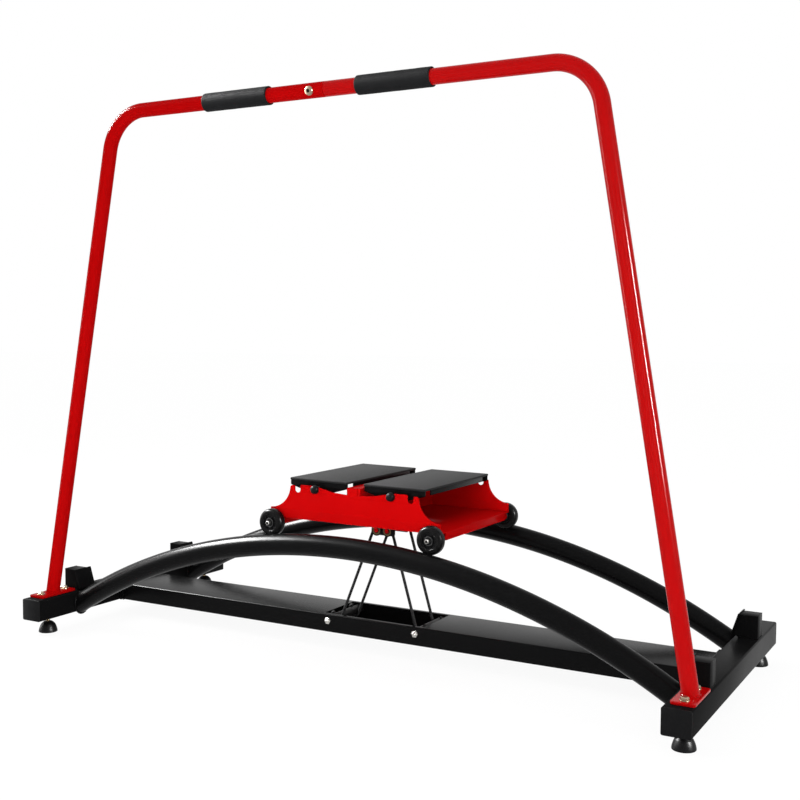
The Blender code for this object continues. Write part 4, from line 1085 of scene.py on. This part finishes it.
def makeCordAnchor(side, label):
    f = fastener
    place = Vector((side * cord["boltX"], 0, cordZ))
    wall = base["beamWidth"] / 2 + base["gap"]
    front, back = place + Vector((0, -wall, 0)), place + Vector((0, wall, 0))
    root, tip = f["headHeight"] * 0.5, f["headHeight"] + f["studTip"]
    end = [(0, tip), (f["bolt"] * 0.7, tip)] + threaded(f["bolt"], root, tip - 0.0008)[::-1] + [(0, root)]
    shank = [(0, 0), (f["bolt"], 0), (f["bolt"], -2 * wall), (0, -2 * wall)]
    head = hexHead(f["head"], f["headHeight"], back, (0, 1, 0))
    bolt = joined(lathe(end, front, (0, -1, 0), 32), lathe(shank, front, (0, -1, 0), 24), head)
    piece(f"cord_bolt_{label}_set", bolt, nutSteel, "base", [f"cord_bolt_{label}"])
    nut = hexHead(f["head"], f["headHeight"], front, (0, -1, 0))
    piece(f"cord_nut_{label}_hex", nut, nutSteel, "base", [f"cord_bolt_nut_{label}"])
    half = base["beamWidth"] / 2 - base["beamWall"] - base["gap"]
    profile = soften(wallSection(f["bolt"] + base["gap"], cord["sleeve"], -half, half), 0.0008, 3)
    sleeve = lathe(profile, place, (0, 1, 0), 48, True)
    piece(f"cord_sleeve_{label}_round", sleeve, blackSteel, f"cord_sleeve_{label}", [f"cord_sleeve_{label}"])


def cordPath(y):
    wrap = cord["sleeve"] + cord["radius"] + base["gap"]
    over = pulley["groove"] + cord["radius"] + base["gap"]
    anchor = (-cord["boltX"], cordZ)
    halves = []
    for side in (-1, 1):  # the right half is worked out as seen in a mirror
        centre = carriageTurn @ Vector((side * pulley["x"], 0, pulleyZ))
        top = (-side * centre.x, centre.z)
        across, up = top[0] - anchor[0], top[1] - anchor[1]
        leave = degrees(atan2(up, across) - acos((wrap + over) / hypot(across, up)))
        loop = arc(anchor, wrap, leave - cord["wrap"], leave, 40)
        crown = arc(top, over, leave + 180, 90, 14)
        low, high = Vector(loop[-1]), Vector(crown[0])
        halves.append(loop + [low.lerp(high, k / 40) for k in range(1, 40)] + crown)
    return [(x, y, z) for x, z in halves[0] + [(-x, z) for x, z in reversed(halves[1])]]


def makeCord(end, label):
    y = end * cord["y"]
    shape = sweep(cordPath(y), cord["radius"] - 0.0001, 14)
    made = piece(f"cord_{label}_braided", shape, cordCover, None, sharp=60)
    pulleyZ - 0.016
    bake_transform(made)
    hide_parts(f"elastic_cord_{label}")


makeBracket()
for side, label in leftRight:
    makeCordAnchor(side, label)
    for end, place in frontBack:
        makePulley(side, end, f"{label}_{place}")
makeCord(-1, "front")
makeCord(1, "back")
print("cords made")


# Floor, backdrop and lights

# Each lamp: name, place, width and height in metres, watts, spread in degrees
studio = {
    "floor": {"slot": "floor", "colour": (0.86, 0.86, 0.86), "rough": 0.9},
    "floorHalf": 30, "floorDrop": 0.0005, "floorShadow": 0.10, "floorGlow": 1.035,
    "skyLow": 0.38, "skyHigh": 0.88, "aim": (0, 0, 0.45),
    "softLamps": [
        ("trayKey", (0.5, -3.6, 0.6), (0.8, 0.8), 1.7, 32),
        ("rightFill", (2.6, -2.9, 1.4), (1.2, 1.6), 24, 180),
        ("barFill", (0.0, -1.8, 1.35), (1.6, 0.4), 5, 180),
    ],
    "shineLamps": [
        ("leftPanel", (-3.2, -0.9, 1.0), (1.4, 1.8), 64, 180),
        ("railBox", (-3.6, -0.75, 3.08), (2.3, 1.15), 1700, 180),
        ("rightBox", (3.76, -0.77, 1.5), (0.35, 1.1), 640, 180),
    ],
}


def makeFloor():
    s = studio
    outline = rectangle(2 * s["floorHalf"], 2 * s["floorHalf"])
    mesh = bpy.data.meshes.new("floor")
    mesh.from_pydata([(p.x, p.y, -s["floorDrop"]) for p in outline], [], [(0, 1, 2, 3)])
    floor = bpy.data.objects.new("floor", mesh)
    bpy.context.scene.collection.objects.link(floor)
    finish = Finish("floorWhite", s["floor"])
    finish.put(finish.shader.inputs["Base Color"], finish.colour(s["floor"]["colour"]))
    finish.put(finish.shader.inputs["Roughness"], s["floor"]["rough"])
    glow = finish.node("ShaderNodeEmission", None, {"Color": (1, 1, 1, 1), "Strength": s["floorGlow"]})
    share = finish.inView() * (1.0 - s["floorShadow"])
    plain = Shade(finish.tree, finish.shader.outputs[0])
    mix = finish.node("ShaderNodeMixShader", None, {0: share, 1: plain, 2: glow})
    finish.put(finish.tree.nodes["Material Output"].inputs["Surface"], mix)
    mesh.materials.append(finish.material)


def makeSky():
    s = studio
    world = bpy.data.worlds.new("studioSky")
    world.use_nodes = True
    bpy.context.scene.world = world
    sky = NodeTree(world.node_tree)
    sky.tree.nodes.clear()
    toward = sky.node("ShaderNodeTexCoord", out="Generated")
    high = sky.node("ShaderNodeSeparateXYZ", None, {0: toward}, "Z").clamped()
    level = high * (s["skyHigh"] - s["skyLow"]) + s["skyLow"]
    seen = sky.inView()
    light = {"Color": (1, 1, 1, 1), "Strength": level * (1.0 - seen) + seen}
    output = sky.tree.nodes.new("ShaderNodeOutputWorld")
    sky.put(output.inputs[0], sky.node("ShaderNodeBackground", None, light))


def makeLamp(name, place, size, power, spread, shine):
    data = bpy.data.lights.new(name, "AREA")
    data.shape = "RECTANGLE"
    data.size, data.size_y = size
    data.energy = power
    data.spread = radians(spread)
    lamp = bpy.data.objects.new(name, data)
    bpy.context.scene.collection.objects.link(lamp)
    lamp.visible_camera = False
    lamp.visible_diffuse = not shine  # soft lamps light the colours, the others only draw highlights
    lamp.visible_glossy = shine
    aim = Vector(studio["aim"]) - Vector(place)
    lamp.matrix_world = Matrix.Translation(place) @ aim.to_track_quat("-Z", "Y").to_matrix().to_4x4()


makeFloor()
makeSky()
for kind in ("softLamps", "shineLamps"):
    for lamp in studio[kind]:
        makeLamp(*lamp, kind == "shineLamps")
print("studio made")
